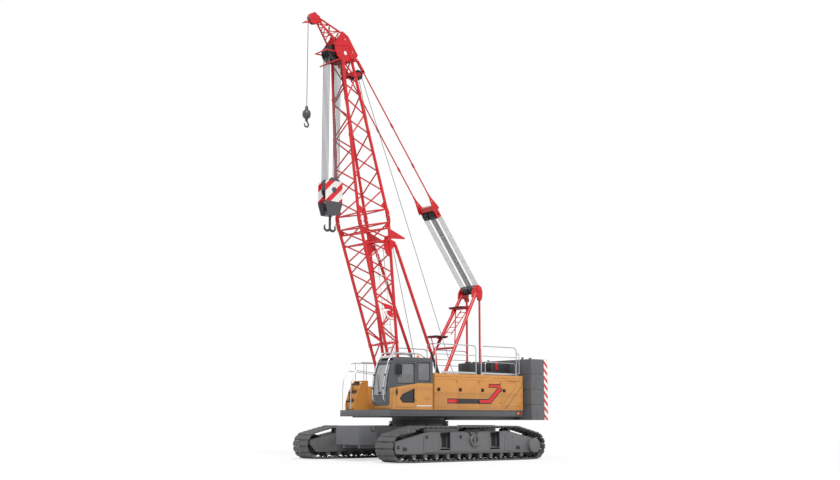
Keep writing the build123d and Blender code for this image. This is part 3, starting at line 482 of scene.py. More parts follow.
# %% A tube along a line
def along_line(points, radius, radii=None, smooth=False, sides=4, closed=False):
    """The mesh of a tube that follows points, as sharp runs or as one smooth line."""
    curve = bpy.data.curves.new("line", "CURVE")
    curve.dimensions = "3D"
    curve.bevel_depth = radius
    curve.bevel_resolution = sides
    curve.use_fill_caps = True
    curve.resolution_u = 6
    spline = curve.splines.new("NURBS" if smooth else "POLY")
    spline.points.add(len(points) - 1)
    for index, point in enumerate(points):
        spline.points[index].co = (*point, 1)
        spline.points[index].radius = radii[index] if radii else 1
    if smooth:
        spline.order_u = 3
        spline.use_endpoint_u = True
    spline.use_cyclic_u = closed
    holder = bpy.data.objects.new("line", curve)
    bpy.context.scene.collection.objects.link(holder)
    bpy.context.view_layer.update()
    evaluated = holder.evaluated_get(bpy.context.evaluated_depsgraph_get())
    mesh = bpy.data.meshes.new_from_object(evaluated)
    bpy.data.objects.remove(holder)
    bpy.data.curves.remove(curve)
    return mesh


def eased(points, radius, steps=4):
    """Corner points of a bent rail, with each inner corner replaced by a short arc."""
    points = [Vector(point) for point in points]
    line = [points[0]]
    for before, corner, after in zip(points, points[1:], points[2:]):
        reach = min(radius, (corner - before).length * 0.45, (after - corner).length * 0.45)
        start = corner + (before - corner).normalized() * reach
        end = corner + (after - corner).normalized() * reach
        for step in range(steps + 1):
            share = step / steps
            line.append(start.lerp(corner, share).lerp(corner.lerp(end, share), share))
    return line + [points[-1]]


def rail(shape, points, radius, bend=0.08, sides=2):
    """Add a bent round rail to a shape."""
    return shape.stamp(along_line(eased(points, bend), radius, sides=sides), Matrix())


def side_rail(shape, outline, y, radius, bend=0.08):
    """Add a bent rail that is drawn in the side view, at an offset to the left."""
    return rail(shape, [(x, y, z) for x, z in outline], radius, bend)


# %% [markdown]
# A piece becomes an object here. It rides on a body of the frame, takes its finish as its
# material, and hides the CAD nodes that it stands for. Edges of real plate are
# never knife sharp, so a Bevel modifier with a small width catches the light along them.

# %% Make an object of a shape
made_pieces = []
both_sides = ((1, "left"), (-1, "right"))


def piece(name, mesh, body, finish, covers=(), edge=0.0, sharp=32):
    """Turn a mesh into a visible piece that rides on a body."""
    if isinstance(mesh, Shape):
        mesh = mesh.to_mesh(name)
    thing = bpy.data.objects.new(name, mesh)
    bpy.context.scene.collection.objects.link(thing)
    mesh.materials.clear()
    mesh.materials.append(finish.material)
    mesh.shade_smooth()
    if edge:
        bevel = thing.modifiers.new("soft edges", "BEVEL")
        bevel.width = edge
        bevel.segments = 2
        bevel.limit_method = "ANGLE"
        bevel.angle_limit = math.radians(sharp)
        bevel.harden_normals = True
    else:
        mesh.set_sharp_from_angle(angle=math.radians(sharp))
    if body:
        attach(thing, body)
    if covers:
        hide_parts(*covers)
    made_pieces.append(thing)
    return thing


def from_node(*names):
    """A merged copy of CAD nodes, with each flat face in one, so that its edges can be softened."""
    shape = Shape()
    for name in names:
        shape.mesh.from_mesh(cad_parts[name].data)
    bmesh.ops.remove_doubles(shape.mesh, verts=shape.mesh.verts[:], dist=2e-5)
    bmesh.ops.dissolve_limit(
        shape.mesh, angle_limit=0.01, use_dissolve_boundaries=False,
        verts=shape.mesh.verts[:], edges=shape.mesh.edges[:],
    )
    return shape


# %% [markdown]
# A track is one loop of seventy shoes. Each shoe is a notched pad whose hinge knuckles lie
# between those of its neighbour, with two drive lugs on its inner side. One shoe is modelled
# with a few dozen faces and stamped along the pitch line, which leaves the ground run, rises
# tangentially to the wheels and sags nowhere, because it is kept taut.

# %% Sizes of the track
track_y = 2.52
shoe_width = 0.93
shoe_count = 70
wheel_x = 3.06
wheel_z = 0.505
shoe_height = 0.038
pitch_radius = 0.49 - shoe_height
ground_half = 2.70
top_half = 2.20
top_line = 1.21 - shoe_height
wheel_radius = pitch_radius - 0.0503


def leaving_angle(run_half, height):
    """Angle on the front wheel at which the loop leaves it for a straight run."""
    away = wheel_x - run_half
    rise = height - wheel_z
    reach = math.acos(pitch_radius / math.hypot(away, rise))
    direction = math.atan2(rise, -away)
    return direction - reach if rise > 0 else direction + reach


def pitch_points(step=0.004):
    """The loop of the tracks, seen from the side, in short equal steps."""
    top = leaving_angle(top_half, top_line)
    low = leaving_angle(ground_half, shoe_height)
    arc = [low + (top - low) * index / 200 for index in range(201)]
    front = [Vector(polar(wheel_x, wheel_z, pitch_radius, angle)) for angle in arc]
    rear = [Vector((-point.x, point.y)) for point in reversed(front)]
    top_run = [Vector((top_half, top_line)), Vector((-top_half, top_line))]
    low_run = [Vector((-ground_half, shoe_height)), Vector((ground_half, shoe_height))]
    corners = front + top_run + rear + low_run + front[:1]
    line = []
    for start, end in zip(corners, corners[1:]):
        count = max(1, round((end - start).length / step))
        line += [start.lerp(end, index / count) for index in range(count)]
    return line


loop = pitch_points()
shoe_pitch = sum((b - a).length for a, b in zip(loop, loop[1:] + loop[:1])) / shoe_count
print("shoe pitch", round(shoe_pitch, 4))

# %% One track shoe
half_pitch = shoe_pitch / 2


def along_pitch(outline, end=1):
    """An outline whose length is given in halves of the pitch."""
    return [(end * half_pitch * share, height) for share, height in outline]


pad = [(-0.86, -0.008), (-0.84, 0.004), (-0.64, 0.037), (0.64, 0.037),
       (0.84, 0.004), (0.86, -0.008), (0.5, -0.012), (-0.5, -0.012)]
knuckle = [(0.78, -0.014), (0.78, 0.004), (1.02, 0.010), (1.12, 0.0), (1.04, -0.014)]
lug = [(-0.62, -0.010), (-0.42, -0.0495), (0.42, -0.0495), (0.62, -0.010)]
shoe = Shape().plate(along_pitch(pad), "Y", -shoe_width / 2, shoe_width / 2)
for end, places in ((1, (-0.39, -0.13, 0.13, 0.39)), (-1, (-0.26, 0.0, 0.26))):
    for y in places:
        shoe.plate(along_pitch(knuckle, end), "Y", y - 0.055, y + 0.055)
for y in (-0.32, 0.32):
    shoe.box((-half_pitch * 0.3, y - 0.07, 0.036), (half_pitch * 0.3, y + 0.07, 0.0378))
for y in (-0.15, 0.15):
    shoe.plate(along_pitch(lug), "Y", y - 0.055, y + 0.055)
shoe_mesh = shoe.to_mesh("shoe")
print("faces of a shoe", len(shoe_mesh.polygons))


def track_loop(side):
    """Every shoe of one track, each turned to its place on the loop."""
    shape = Shape()
    walked = 0.0
    wanted = [(index + 0.5) * shoe_pitch for index in range(shoe_count)]
    for start, end in zip(loop, loop[1:] + loop[:1]):
        run = (end - start).length
        while wanted and walked + run >= wanted[0]:
            place = start.lerp(end, (wanted.pop(0) - walked) / run)
            along = (end - start).normalized()
            outward = Vector((along.y, -along.x))
            turn = Matrix(((along.x, 0, outward.x), (0, 1, 0), (along.y, 0, outward.y)))
            seat = Matrix.Translation((place.x, side * track_y, place.y)) @ turn.to_4x4()
            shape.stamp(shoe_mesh, seat)
        walked += run
    print("track", side, "length", round(shoe_pitch * shoe_count, 3))
    return shape


for side, name in both_sides:
    body, node = f"track_unit_{name}", f"track_{name}"
    piece(f"track_shoes_{name}", track_loop(side), body, track_steel, [node], 0.004)

# %% [markdown]
# Rollers carry the side frame on the lower run. A real roller has a plain tread, a flange at
# each end of it and a hub cap, so its profile is spun instead of using a cylinder.

# %% Rollers, carriers, idler and sprocket
belt_half, clearance_gap = 0.05, 0.0003
roller_z = shoe_height + belt_half + clearance_gap + 0.105
carrier_z = top_line - belt_half - clearance_gap - 0.05
roller_places = [(index - 5) * 0.5 for index in range(11)]
carrier_places = (-1.95, 0, 1.95)
roller_profile = mirrored([
    (0.0, -0.225), (0.05, -0.225), (0.06, -0.2), (0.088, -0.2), (0.105, -0.185), (0.105, -0.1),
    (0.092, -0.085),
])
carrier_profile = mirrored([(0.0, -0.19), (0.03, -0.19), (0.046, -0.18), (0.05, -0.165)])
idler_profile = mirrored([
    (0.0, -0.226), (0.07, -0.226), (0.085, -0.21), (0.09, -0.19), (0.16, -0.17), (0.19, -0.09), (0.30, -0.09),
    (0.33, -0.17), (0.37, -0.19), (wheel_radius - 0.004, -0.19), (wheel_radius, -0.18), (wheel_radius, -0.03),
    (wheel_radius - 0.02, 0.0),
])
sprocket_hub = mirrored([(0.0, -0.226), (0.15, -0.226), (0.18, -0.2)])
tooth_count = 18
tooth = ((-0.44, 0.055), (-0.22, 0.002), (0.22, 0.002), (0.44, 0.055))


def wheels(y):
    """The eleven track rollers and three carriers of one side."""
    shape = Shape()
    for x in roller_places:
        shape.turned(roller_profile, (x, y, roller_z), "Y", 28)
    for x in carrier_places:
        shape.turned(carrier_profile, (x, y, carrier_z), "Y", 24)
    return shape


def sprocket(y):
    """The toothed drive wheel at the rear."""
    shape = Shape()
    tips = []
    for index in range(tooth_count):
        for turn, depth in tooth:
            angle = math.radians((index + turn) * 360 / tooth_count)
            tips.append(polar(-wheel_x, wheel_z, wheel_radius - depth, angle))
    for low in (-0.15, 0.08):
        shape.plate(tips, "Y", y + low, y + low + 0.07, [(-wheel_x, wheel_z, 0.12)])
    return shape.turned(sprocket_hub, (-wheel_x, y, wheel_z), "Y", 40)


for side, name in both_sides:
    y, body = side * track_y, f"track_unit_{name}"
    idler = Shape().turned(idler_profile, (wheel_x, y, wheel_z), "Y", 56)
    piece(f"track_rollers_{name}", wheels(y), body, wheel_steel, [f"rollers_{name}"])
    piece(f"idler_wheel_{name}", idler, body, wheel_steel, [f"idler_{name}"])
    piece(f"sprocket_wheel_{name}", sprocket(y), body, wheel_steel, [f"sprocket_{name}"],
          0.004)
print("track pieces", len(made_pieces))

# %% [markdown]
# The side frame is a welded box with sleeves for the axle beams. Its CAD shape is right, so a
# copy of it is dressed with soft edges. The yoke plate of the idler, the hub ring, sleeve
# rims, bolt rows and roller brackets of its outer face are laid on it, and what looks dark
# there, hollows, valves and hoses, is a piece of its own, with thin black sheets on the sleeve
# walls as painted shade.

# %% Side frames
axle_x, frame_face = 1.155, 2.85
bolt_head = [(0.0, 0.0), (0.018, 0.0), (0.018, 0.012), (0.013, 0.014), (0.013, 0.024), (0.0, 0.026)]
bolt_mesh = Shape().turned(bolt_head, (0, 0, 0), "Z", 6).to_mesh("bolt")


def bolts(shape, places, axis, sign=1, size=1.0):
    """Bolt heads on a face that looks along an axis."""
    way = Vector({"X": (sign, 0, 0), "Y": (0, sign, 0), "Z": (0, 0, sign)}[axis])
    turn = way.to_track_quat("Z", "X").to_matrix().to_4x4() @ Matrix.Scale(size, 4)
    for place in places:
        shape.stamp(bolt_mesh, Matrix.Translation(place) @ turn)
    return shape


def frame_details(side):
    """Plates, bolts and brackets on the outer face of one side frame."""
    shape = Shape()
    face = side * frame_face
    proud = face + side * 0.012
    for end in (1, -1):
        shape.plate(flipped([(2.1, 0.34), (2.1, 0.86), (1.62, 0.93), (1.62, 0.34)], end), "Y", face, proud)
        opening = flipped([(0.88, 0.40), (1.43, 0.40), (1.43, 1.015), (0.88, 1.015)], end)
        inner = flipped([(0.93, 0.462), (1.38, 0.462), (1.38, 1.001), (0.93, 1.001)], end)
        for a, b, c, d in zip(opening, opening[1:] + opening[:1], inner, inner[1:] + inner[:1]):
            shape.plate([a, b, d, c], "Y", face, proud)
        sill = end * axle_x
        shape.box((sill - 0.23, face, 0.335), (sill + 0.23, proud, 0.455), edge=0.006)
    places = [(x, proud, z) for x in (2.02, 1.70, -1.70, -2.02) for z in (0.42, 0.55, 0.68, 0.80)]
    bolts(shape, places, "Y", side, 0.9)
    bracket = [(-0.10, 0.30), (0.10, 0.30), (0.065, 0.15), (-0.065, 0.15)]
    for x in roller_places:
        for y in (2.27, 2.77):
            shape.plate(shifted(bracket, x, 0), "Y", side * (y - 0.035), side * (y + 0.035))
        bolts(shape, [(x + across, side * 2.805, 0.215) for across in (-0.045, 0.045)], "Y", side, 0.7)
    yoke = [(2.14, 0.30), (3.25, 0.30), (3.30, 0.32), (3.325, 0.37), (3.325, 0.60), (3.30, 0.65),
            (3.25, 0.68), (2.90, 0.765), (2.14, 0.93)]
    shape.plate(yoke, "Y", side * 2.79, proud)
    hub_ring = [(0.20, 0.0), (0.20, 0.075), (0.185, 0.09), (0.155, 0.09), (0.14, 0.078), (0.14, 0.03),
                (0.0, 0.03)]
    shape.turned(sided(hub_ring, side), (-0.15, face, 0.71), "Y", 36)
    return shape.box((-0.185, face, 0.57), (-0.115, face + side * 0.075, 0.85), edge=0.01)


def frame_dark_parts_and_sleeve_shade(side):
    """The dark parts of a side frame: hollows of the hub and valves on its top, with black sheets on the
    sleeve walls as painted shade.
    """
    shape = Shape()
    face = side * frame_face
    hollow = sided([(0.0, 0.0), (0.05, 0.0), (0.05, 0.045), (0.0, 0.045)], side)
    for x in (-0.225, -0.075):
        shape.turned(hollow, (x, face, 0.71), "Y", 20)
    corners = [(across, height) for across in (-0.02, 0.02) for height in (-0.028, 0.028)]
    for x, z in ((2.96, 0.46), (2.88, 0.46), (3.2, 0.52), (1.98, 0.84), (0.46, 0.84), (-2.24, 0.44),
                 (-2.33, 0.44)):
        places = [(x + across, face + side * 0.010, z + height) for across, height in corners]
        bolts(shape, places, "Y", side, 1.5)
    for rear, front, top in ((-0.42, -0.05, 1.10), (0.02, 0.26, 1.085)):
        shape.box((rear, side * 2.72, 1.005), (front, side * 2.88, top), edge=0.015)
    for start, end, out, radius in (
        ((-0.30, 1.02), (-0.24, 0.88), 0.03, 0.022),
        ((0.10, 1.02), (-0.02, 0.88), 0.03, 0.022),
        ((-0.36, 1.06), (0.22, 1.05), 0.02, 0.026),
    ):
        y = face + side * out
        shape.bar((start[0], y, start[1]), (end[0], y, end[1]), radius, sides=12)
    # Painted shade: thin black sheets line the sleeve walls and roofs, which are dark only because little
    # light reaches in.
    near, far = side * 2.70, side * 2.846
    for x in (-axle_x, axle_x):
        for wall in (x - 0.2235, x + 0.2235):
            shape.box((wall - 0.0012, near, 0.466), (wall + 0.0012, far, 0.998))
        shape.box((x - 0.222, near, 0.9985), (x + 0.222, far, 1.0005))
    return shape


def travel_drive(side):
    """The round gearbox cover outside the sprocket, and the motor inside."""
    cover = [(0.0, 0.128), (0.03, 0.128), (0.035, 0.12), (0.235, 0.118), (0.255, 0.108), (0.265, 0.09),
             (0.265, 0.05), (0.27, 0.045), (0.27, 0.0), (0.0, 0.0)]
    motor = [(0.0, -0.26), (0.13, -0.26), (0.15, -0.24), (0.15, -0.17), (0.21, -0.15), (0.21, 0.0),
             (0.0, 0.0)]
    shape = Shape().turned(sided(cover, side), (-wheel_x, side * frame_face, wheel_z), "Y", 48)
    return shape.turned(sided(motor, side), (-wheel_x, side * 2.19, wheel_z), "Y", 32)


for side, name in both_sides:
    body, box_node = f"track_unit_{name}", f"track_frame_{name}"
    cover = travel_drive(side)
    piece(f"side_frame_{name}", from_node(box_node), body, frame_paint, [box_node], 0.008)
    piece(f"side_frame_plates_{name}", frame_details(side), body, frame_paint, (), 0.003)
    piece(f"side_frame_dark_parts_and_sleeve_shade_{name}", frame_dark_parts_and_sleeve_shade(side), body, machine_black)
    piece(f"travel_drive_cover_{name}", cover, body, frame_paint, [f"travel_drive_{name}"],
          0.003)

# %% [markdown]
# The carbody carries the slewing ring. Its axle beams are hollow boxes, and the open ends
# show dark inside the sleeves. Each beam end gets a real frame of plate that stands a little
# way in front of a recess, and a thin black sheet in the recess is painted shade for the mouth.

# %% Carbody, weights and slewing ring
piece("carbody_box", from_node("carbody"), "undercarriage", frame_paint, ["carbody"], 0.01)
rim_runs = ((-0.219, 0.219, 0.462, 0.492), (-0.219, 0.219, 0.966, 0.996),
            (-0.219, -0.189, 0.492, 0.966), (0.189, 0.219, 0.492, 0.966))
mouth_plate = [(0.17, 0.49), (0.12, 0.84), (0.05, 0.84), (0.02, 0.49)]
beam_ends, beam_mouth_shade = Shape(), Shape()
for x in (-axle_x, axle_x):
    for rear, front, bottom, top in rim_runs:
        beam_ends.box((x + rear, 2.68, bottom), (x + front, 2.70, top))
    beam_ends.plate(shifted(mouth_plate, x, 0), "Y", 2.684, 2.698)
    # Painted shade: a thin black sheet fills each mouth, which is dark only from shade.
    beam_mouth_shade.box((x - 0.189, 2.679, 0.492), (x + 0.189, 2.683, 0.966))
piece("axle_beam_rims", beam_ends.both(), "undercarriage", frame_paint)
piece("axle_beam_mouth_shade_sheets", beam_mouth_shade.both(), "undercarriage", rubber)

ballast, carry_rings = Shape(), Shape()
ring_bend = [(0.11, 1.18), (0.11, 1.08), (0.0, 1.02), (-0.11, 1.08), (-0.11, 1.18)]
for end in (-1, 1):
    ballast.box((end * 2.43, -0.68, 0.56), (end * 3.24, 0.68, 1.22), edge=0.03)
    for side in (-1, 1):
        rail(carry_rings, [(end * 2.6 + across, side * 0.692, z) for across, z in ring_bend], 0.013, 0.05)
piece("carbody_ballast", ballast, "undercarriage", slab_paint, ["carbody_weights"])
piece("ballast_carry_rings", carry_rings, "undercarriage", machine_black, sharp=45)

carbody_plates = Shape()
web = [(-0.25, 0.6), (0.25, 0.6), (0.2, 1.1), (-0.2, 1.1)]
for y in (-1.25, 1.25):
    for x in (-0.9, 0.9):
        carbody_plates.plate(shifted(web, x, 0), "Y", y - 0.008, y + 0.008)
rib = Vector((0.05, 0.012, 0.05))
for index in range(8):
    angle = math.radians(45 * index + 22.5)
    centre = Vector((*polar(0, 0, 1.09, angle), 1.24))
    carbody_plates.box(centre - rib, centre + rib, Matrix.Rotation(angle, 3, "Z"))
piece("carbody_plates", carbody_plates, "undercarriage", frame_paint, (), 0.003)

lower_race = [(0.88, 1.30), (1.07, 1.30), (1.10, 1.305), (1.10, 1.318), (1.085, 1.322), (1.085, 1.350),
              (1.10, 1.354), (1.10, 1.37), (0.88, 1.37), (0.88, 1.30)]
upper_race = [(0.88, 1.3703), (0.995, 1.3703), (1.0, 1.376), (1.0, 1.41), (0.88, 1.41), (0.88, 1.3703)]
lower_ring = Shape().turned(lower_race, (0, 0, 0), "Z", 96)
bolts(lower_ring, [(*place, 1.368) for place in ring(0, 0, 1.06, 48)], "Z", 1, 0.6)
upper_ring = Shape().turned(upper_race, (0, 0, 0), "Z", 96)
piece("slewing_ring_lower_race", lower_ring, "undercarriage", machine_black,
      ["slew_ring_lower"])
piece("slewing_ring_upper_race", upper_ring, "upper", machine_black, ["slew_ring_upper"])
print("undercarriage done,", len(made_pieces), "pieces")

# %% [markdown]
# The boom, the hoist line and the backstops are straight members that lean in the side view.
# Their parts are placed by a distance along the member, an offset to the left and an offset
# across it, as a fabricator would set them out, so one small class serves all three.

# %% Directions of a leaning member
class Member:
    """A straight member in the side view, which gives points and outlines along it."""

    def __init__(self, start, way, lean=1):
        self.start, self.way, self.lean = start, way, lean

    def point(self, along, left=0.0, across=0.0):
        x, z = self.way
        across = across * self.lean
        return Vector((self.start.x + along * x - across * z, left, self.start.z + along * z + across * x))

    def outline(self, points):
        """A side outline in the member's directions, as the crane's own (x, z) points."""
        places = [self.point(along, 0, across) for along, across in points]
        return [(place.x, place.z) for place in places]

    def holes(self, *rounds):
        """Round holes, each given by its place on the member and its radius."""
        return [(*self.outline([(along, across)])[0], radius) for along, across, radius in rounds]


foot_x, foot_z = 1.18, 1.95
boom_angle = math.radians(77.7)
boom = Member(Vector((foot_x, 0, foot_z)), (math.cos(boom_angle), math.sin(boom_angle)), -1)
on_boom, boom_outline = boom.point, boom.outline


def zigzag(chord_a, chord_b, count, first, last):
    """Braces that run to and fro between two chords."""
    runs = []
    shares = [first + (last - first) * index / count for index in range(count + 1)]
    for index, (share, following) in enumerate(zip(shares, shares[1:])):
        start, end = (chord_a, chord_b) if index % 2 == 0 else (chord_b, chord_a)
        runs.append((start[0].lerp(start[1], share), end[0].lerp(end[1], following)))
    return runs


chord_radius, lace_radius, fork_radius = 0.055, 0.027, 0.075
base_end, joint_block = 6.82, 0.15
corners = [(side, face) for side in (-1, 1) for face in (-1, 1)]


def joint_corner(along, side, face):
    """A point on a chord's line where the sections are full size."""
    return on_boom(along, side * 0.665, face * 0.65)


base_chords, top_chords = {}, {}
top_ends = {1: (12.80, -0.06), -1: (12.90, -0.42)}
for side, face in corners:
    foot = on_boom(0.35, side * 0.37, face * 0.095)
    base_chords[side, face] = (foot, joint_corner(base_end - joint_block, side, face))
    along, ahead = top_ends[face]
    tip = on_boom(along, side * 0.33, ahead)
    top_chords[side, face] = (joint_corner(base_end + joint_block, side, face), tip)
print("boom direction", [round(share, 4) for share in boom.way])

# %% [markdown]
# A lattice section is four round chords laced on all four sides. Each brace ends in a small
# fillet of weld, and the sections meet in forked ends with a pin through each. Round tubes of
# twenty sides look round at this size and cost little.

# %% Lattice of the base and top sections
def lattice(chords, side_share, face_shares, frames):
    """Chords, braces and cross frames of one section, with a weld collar at each end of a brace."""
    shape = Shape()
    for start, end in chords.values():
        shape.bar(start, end, chord_radius, sides=24)
    runs = []
    for side in (-1, 1):
        runs += zigzag(chords[side, 1], chords[side, -1], 8, *side_share)
    for face in (-1, 1):
        runs += zigzag(chords[1, face], chords[-1, face], 8, *face_shares[face])
    for share in frames:
        corners = [chords[key][0].lerp(chords[key][1], share) for key in ((1, 1), (1, -1), (-1, -1), (-1, 1))]
        runs += list(zip(corners, corners[1:] + corners[:1]))
    for start, end in runs:
        shape.bar(start, end, lace_radius, sides=14)
        run = (end - start).normalized()
        for weld, way in ((start, run), (end, -run)):
            shape.bar(weld + way * 0.045, weld + way * 0.075, lace_radius + 0.014, lace_radius, sides=14)
    return shape


def forks(shape, near, far, away):
    """The forked chord ends of a section, thicker than the chords, with a cone down to them."""
    for side, face in corners:
        start, end = joint_corner(near, side, face), joint_corner(far, side, face)
        shape.bar(start, end, fork_radius, sides=24)
        reach = (end - start) * 0.9
        if away > 0:
            shape.bar(end, end + reach, fork_radius, chord_radius, sides=24)
        else:
            shape.bar(start - reach, start, chord_radius, fork_radius, sides=24)


base = lattice(base_chords, (0.22, 0.985), {1: (0.30, 0.985), -1: (0.30, 0.985)}, (0.30, 0.885, 0.952, 0.985))
foot_plate = [(0.0, -0.14), (0.6, -0.175), (1.0, -0.155), (1.0, 0.155), (0.6, 0.175), (0.0, 0.14)]
foot_eye = [(0.065, 0.32), (0.14, 0.32), (0.145, 0.33), (0.145, 0.41), (0.14, 0.42), (0.065, 0.42),
            (0.065, 0.32)]
stop_lug = [(5.55, -0.55), (5.99, -0.59), (5.82, -0.857), (5.72, -0.857)]
stop_gusset = [(5.30, -0.49), (6.10, -0.585), (6.10, -0.40), (5.75, -0.28), (5.45, -0.33)]
for side in (-1, 1):
    base.plate(boom_outline(foot_plate), "Y", side * 0.32, side * 0.42)
    base.turned(sided(foot_eye, side), (foot_x, 0, foot_z), "Y", 40)
    base.plate(boom_outline(stop_lug), "Y", side * 0.59, side * 0.62)
    base.plate(boom_outline(stop_gusset), "Y", side * 0.588, side * 0.612)
forks(base, base_end - joint_block, base_end, -1)
piece("boom_base_lattice", base, "boom", boom_red, ["boom_base"], sharp=40)

head_pin = on_boom(12.98, 0, 0.139)
head = [(12.60, -0.54), (12.65, 0.0), (12.85, 0.19), (13.08, 0.23), (13.32, 0.19), (13.74, -0.23),
        (13.55, -0.46), (12.83, -0.76)]
head_holes = boom.holes((12.93, -0.22, 0.08), (12.95, -0.56, 0.035), (13.43, -0.31, 0.045))
raised = [(13.22, 0.19), (13.31, 0.17), (13.71, -0.23), (13.54, -0.44), (12.85, -0.73), (12.67, -0.56),
          (12.73, -0.43), (13.20, -0.41), (13.21, -0.17)]
pin_boss = [(0.0, 0.35), (0.085, 0.35), (0.085, 0.37), (0.05, 0.375), (0.0, 0.385)]
pendant_ear = [(12.54, -0.38), (12.72, -0.38), (12.675, -0.659), (12.585, -0.659)]
deflector_ear = [(12.09, -0.407), (12.27, -0.407), (12.22, -0.86), (12.10, -0.86)]
top = lattice(top_chords, (0.015, 0.97), {1: (0.015, 0.82), -1: (0.015, 0.97)}, (0.015,))
forks(top, base_end, base_end + joint_block, 1)
for side in (-1, 1):
    top.plate(boom_outline(head), "Y", side * 0.31, side * 0.35, head_holes)
    top.plate(boom_outline(raised), "Y", side * 0.35, side * 0.364, head_holes[1:])
    top.turned(sided(pin_boss, side), (head_pin.x, 0, head_pin.z), "Y", 36)
    top.plate(boom_outline(pendant_ear), "Y", side * 0.415, side * 0.445)
    top.plate(boom_outline(deflector_ear), "Y", side * 0.17, side * 0.2)
for along, ahead, radius, half in (
    (12.63, -0.405, 0.05, 0.445), (12.80, -0.25, 0.06, 0.33), (13.38, -0.28, 0.06, 0.33),
    (12.21, -0.447, 0.045, 0.369),
):
    top.crossbar(on_boom(along, 0, ahead), half, radius)
piece("boom_top_lattice", top, "boom", boom_red, ["boom_top"], sharp=40)

# %% [markdown]
# Where four chords meet the next section, pins and their keepers join them. The pins are
# bright steel, so they are a piece of their own and only lie against the red forks.

# %% Joint pins, gussets and guard bars
pins, gussets = Shape(), Shape()
collar_lean = Vector((0.05, 0, 0.2)) * 0.3
for side, face in corners:
    middle = joint_corner(base_end, side, face)
    pins.crossbar(middle, 0.105, 0.028)
    pins.bar(middle + Vector((0, side * 0.105, 0)), middle + Vector((0, side * 0.125, 0)), 0.04, sides=20)
    for along in (6.45, 7.2):
        gusset = [(-0.16, 0.60), (0.16, 0.60), (0.05, 0.45), (-0.05, 0.45)]
        outline = boom_outline([(along + run, face * ahead) for run, ahead in gusset])
        gussets.plate(outline, "Y", side * 0.655 - 0.008, side * 0.655 + 0.008)
    for chords, share in ((base_chords, 0.30), (top_chords, 0.5), (top_chords, 0.75)):
        spot = chords[side, face][0].lerp(chords[side, face][1], share)
        gussets.bar(spot - collar_lean, spot + collar_lean, chord_radius + 0.012, sides=24)
for side in (-1, 1):
    pins.crossbar(on_boom(12.63, side * 0.43, -0.614), 0.05, 0.03)
    pins.crossbar(on_boom(5.77, side * 0.605, -0.807), 0.06, 0.03)
piece("boom_joint_pins", pins, "boom", rod_chrome)
piece("boom_gussets", gussets, "boom", boom_red, (), 0.002)

guards = Shape()
fin = [(6.36, -0.66), (5.98, -0.62), (5.88, -1.30), (5.92, -1.33)]
for root, tip in (((13.0, 0.22), (13.07, 0.62)), ((12.72, 0.06), (12.60, 0.50))):
    for left in (-0.33, 0.33):
        guards.bar(on_boom(root[0], left, root[1]), on_boom(tip[0], left, tip[1]), 0.026, sides=14)
    guards.crossbar(on_boom(tip[0], 0, tip[1]), 0.37, 0.026, 14)
for left in (-0.6, 0.6):
    guards.plate(boom_outline(fin), "Y", left - 0.008, left + 0.008)
piece("boom_rope_guards", guards, "boom", boom_red, (), 0.002)

# %% [markdown]
# Two small things hang in the base section. A pale ladder climbs its back face inside a few
# hoops, and on the left side a red quadrant with a white rim shows the boom's angle. A sector
# is an outline like any other plate: an arc of points and its centre.

# %% Ladder and angle indicator
def back_plane(along):
    """How far behind the centre line the base section's back face lies."""
    return -0.095 - 0.555 * (along - 0.35) / 6.32


def on_back(along, left=0.0, away=0.0):
    """A point on the base section's back face, or a way off it."""
    return on_boom(along, left, back_plane(along) + away)


ladder = Shape()
half_turn = [math.pi * index / 12 for index in range(13)]
for left in (-0.19, 0.19):
    ladder.bar(on_back(1.9, left), on_back(5.7, left), 0.014, sides=10)
for index in range(13):
    along = 2.0 + index * 0.3
    ladder.crossbar(on_back(along), 0.19, 0.010, 8)
    if index % 2 and index > 3:
        hoop = [on_back(along, 0.25 * math.cos(angle), 0.32 * math.sin(angle)) for angle in half_turn]
        ladder.stamp(along_line(hoop, 0.009, sides=1), Matrix())
piece("boom_ladder", ladder, "boom", white_trim, sharp=45)


def sector(inner, outer):
    """A quarter ring between two radii, hung from the indicator's centre."""
    turns = [math.radians(90 * step / 14) for step in range(15)]
    arc = [(3.42 - outer * math.sin(a), -0.2 + outer * math.cos(a)) for a in turns]
    return arc + [(3.42 - inner * math.sin(a), -0.2 + inner * math.cos(a)) for a in reversed(turns)]


indicator, scale = Shape(), Shape()
pointer = [(3.74, 0.17), (3.56, -0.24), (3.44, -0.22), (3.50, 0.12)]
for outline in (sector(0.01, 0.26), sector(0.345, 0.365), pointer):
    indicator.plate(boom_outline(outline), "Y", 0.575, 0.583)
indicator.bar(on_boom(3.60, 0.50, -0.05), on_boom(3.60, 0.578, -0.05), 0.02, sides=12)
scale.plate(boom_outline(sector(0.26, 0.345)), "Y", 0.573, 0.581)
piece("angle_indicator", indicator, "boom", boom_red)
piece("angle_indicator_scale", scale, "boom", white_trim)

# %% [markdown]
# Sheaves are turned from one profile with the rope groove cut in. They stand side by side on
# a pin, so a gap shows between each pair of rims. The web is thinner than the rim, as on a
# cast sheave, and the hub stands a little proud of it.

# %% Sheaves
def sheave(shape, centre, radius, root, width, hub=0.09):
    """One grooved sheave with a dished web, and a hub that stands proud of it."""
    half = width / 2
    profile = mirrored([
        (hub * 0.5, -half), (hub, -half), (hub * 1.1, -half * 0.55), (root * 0.82, -half * 0.45),
        (root * 0.9, -half * 0.9), (radius, -half * 0.9), (radius, -half * 0.72),
        (root + (radius - root) * 0.35, -half * 0.4), (root, 0.0),
    ])
    return shape.turned(profile + profile[:1], centre, "Y", 44)


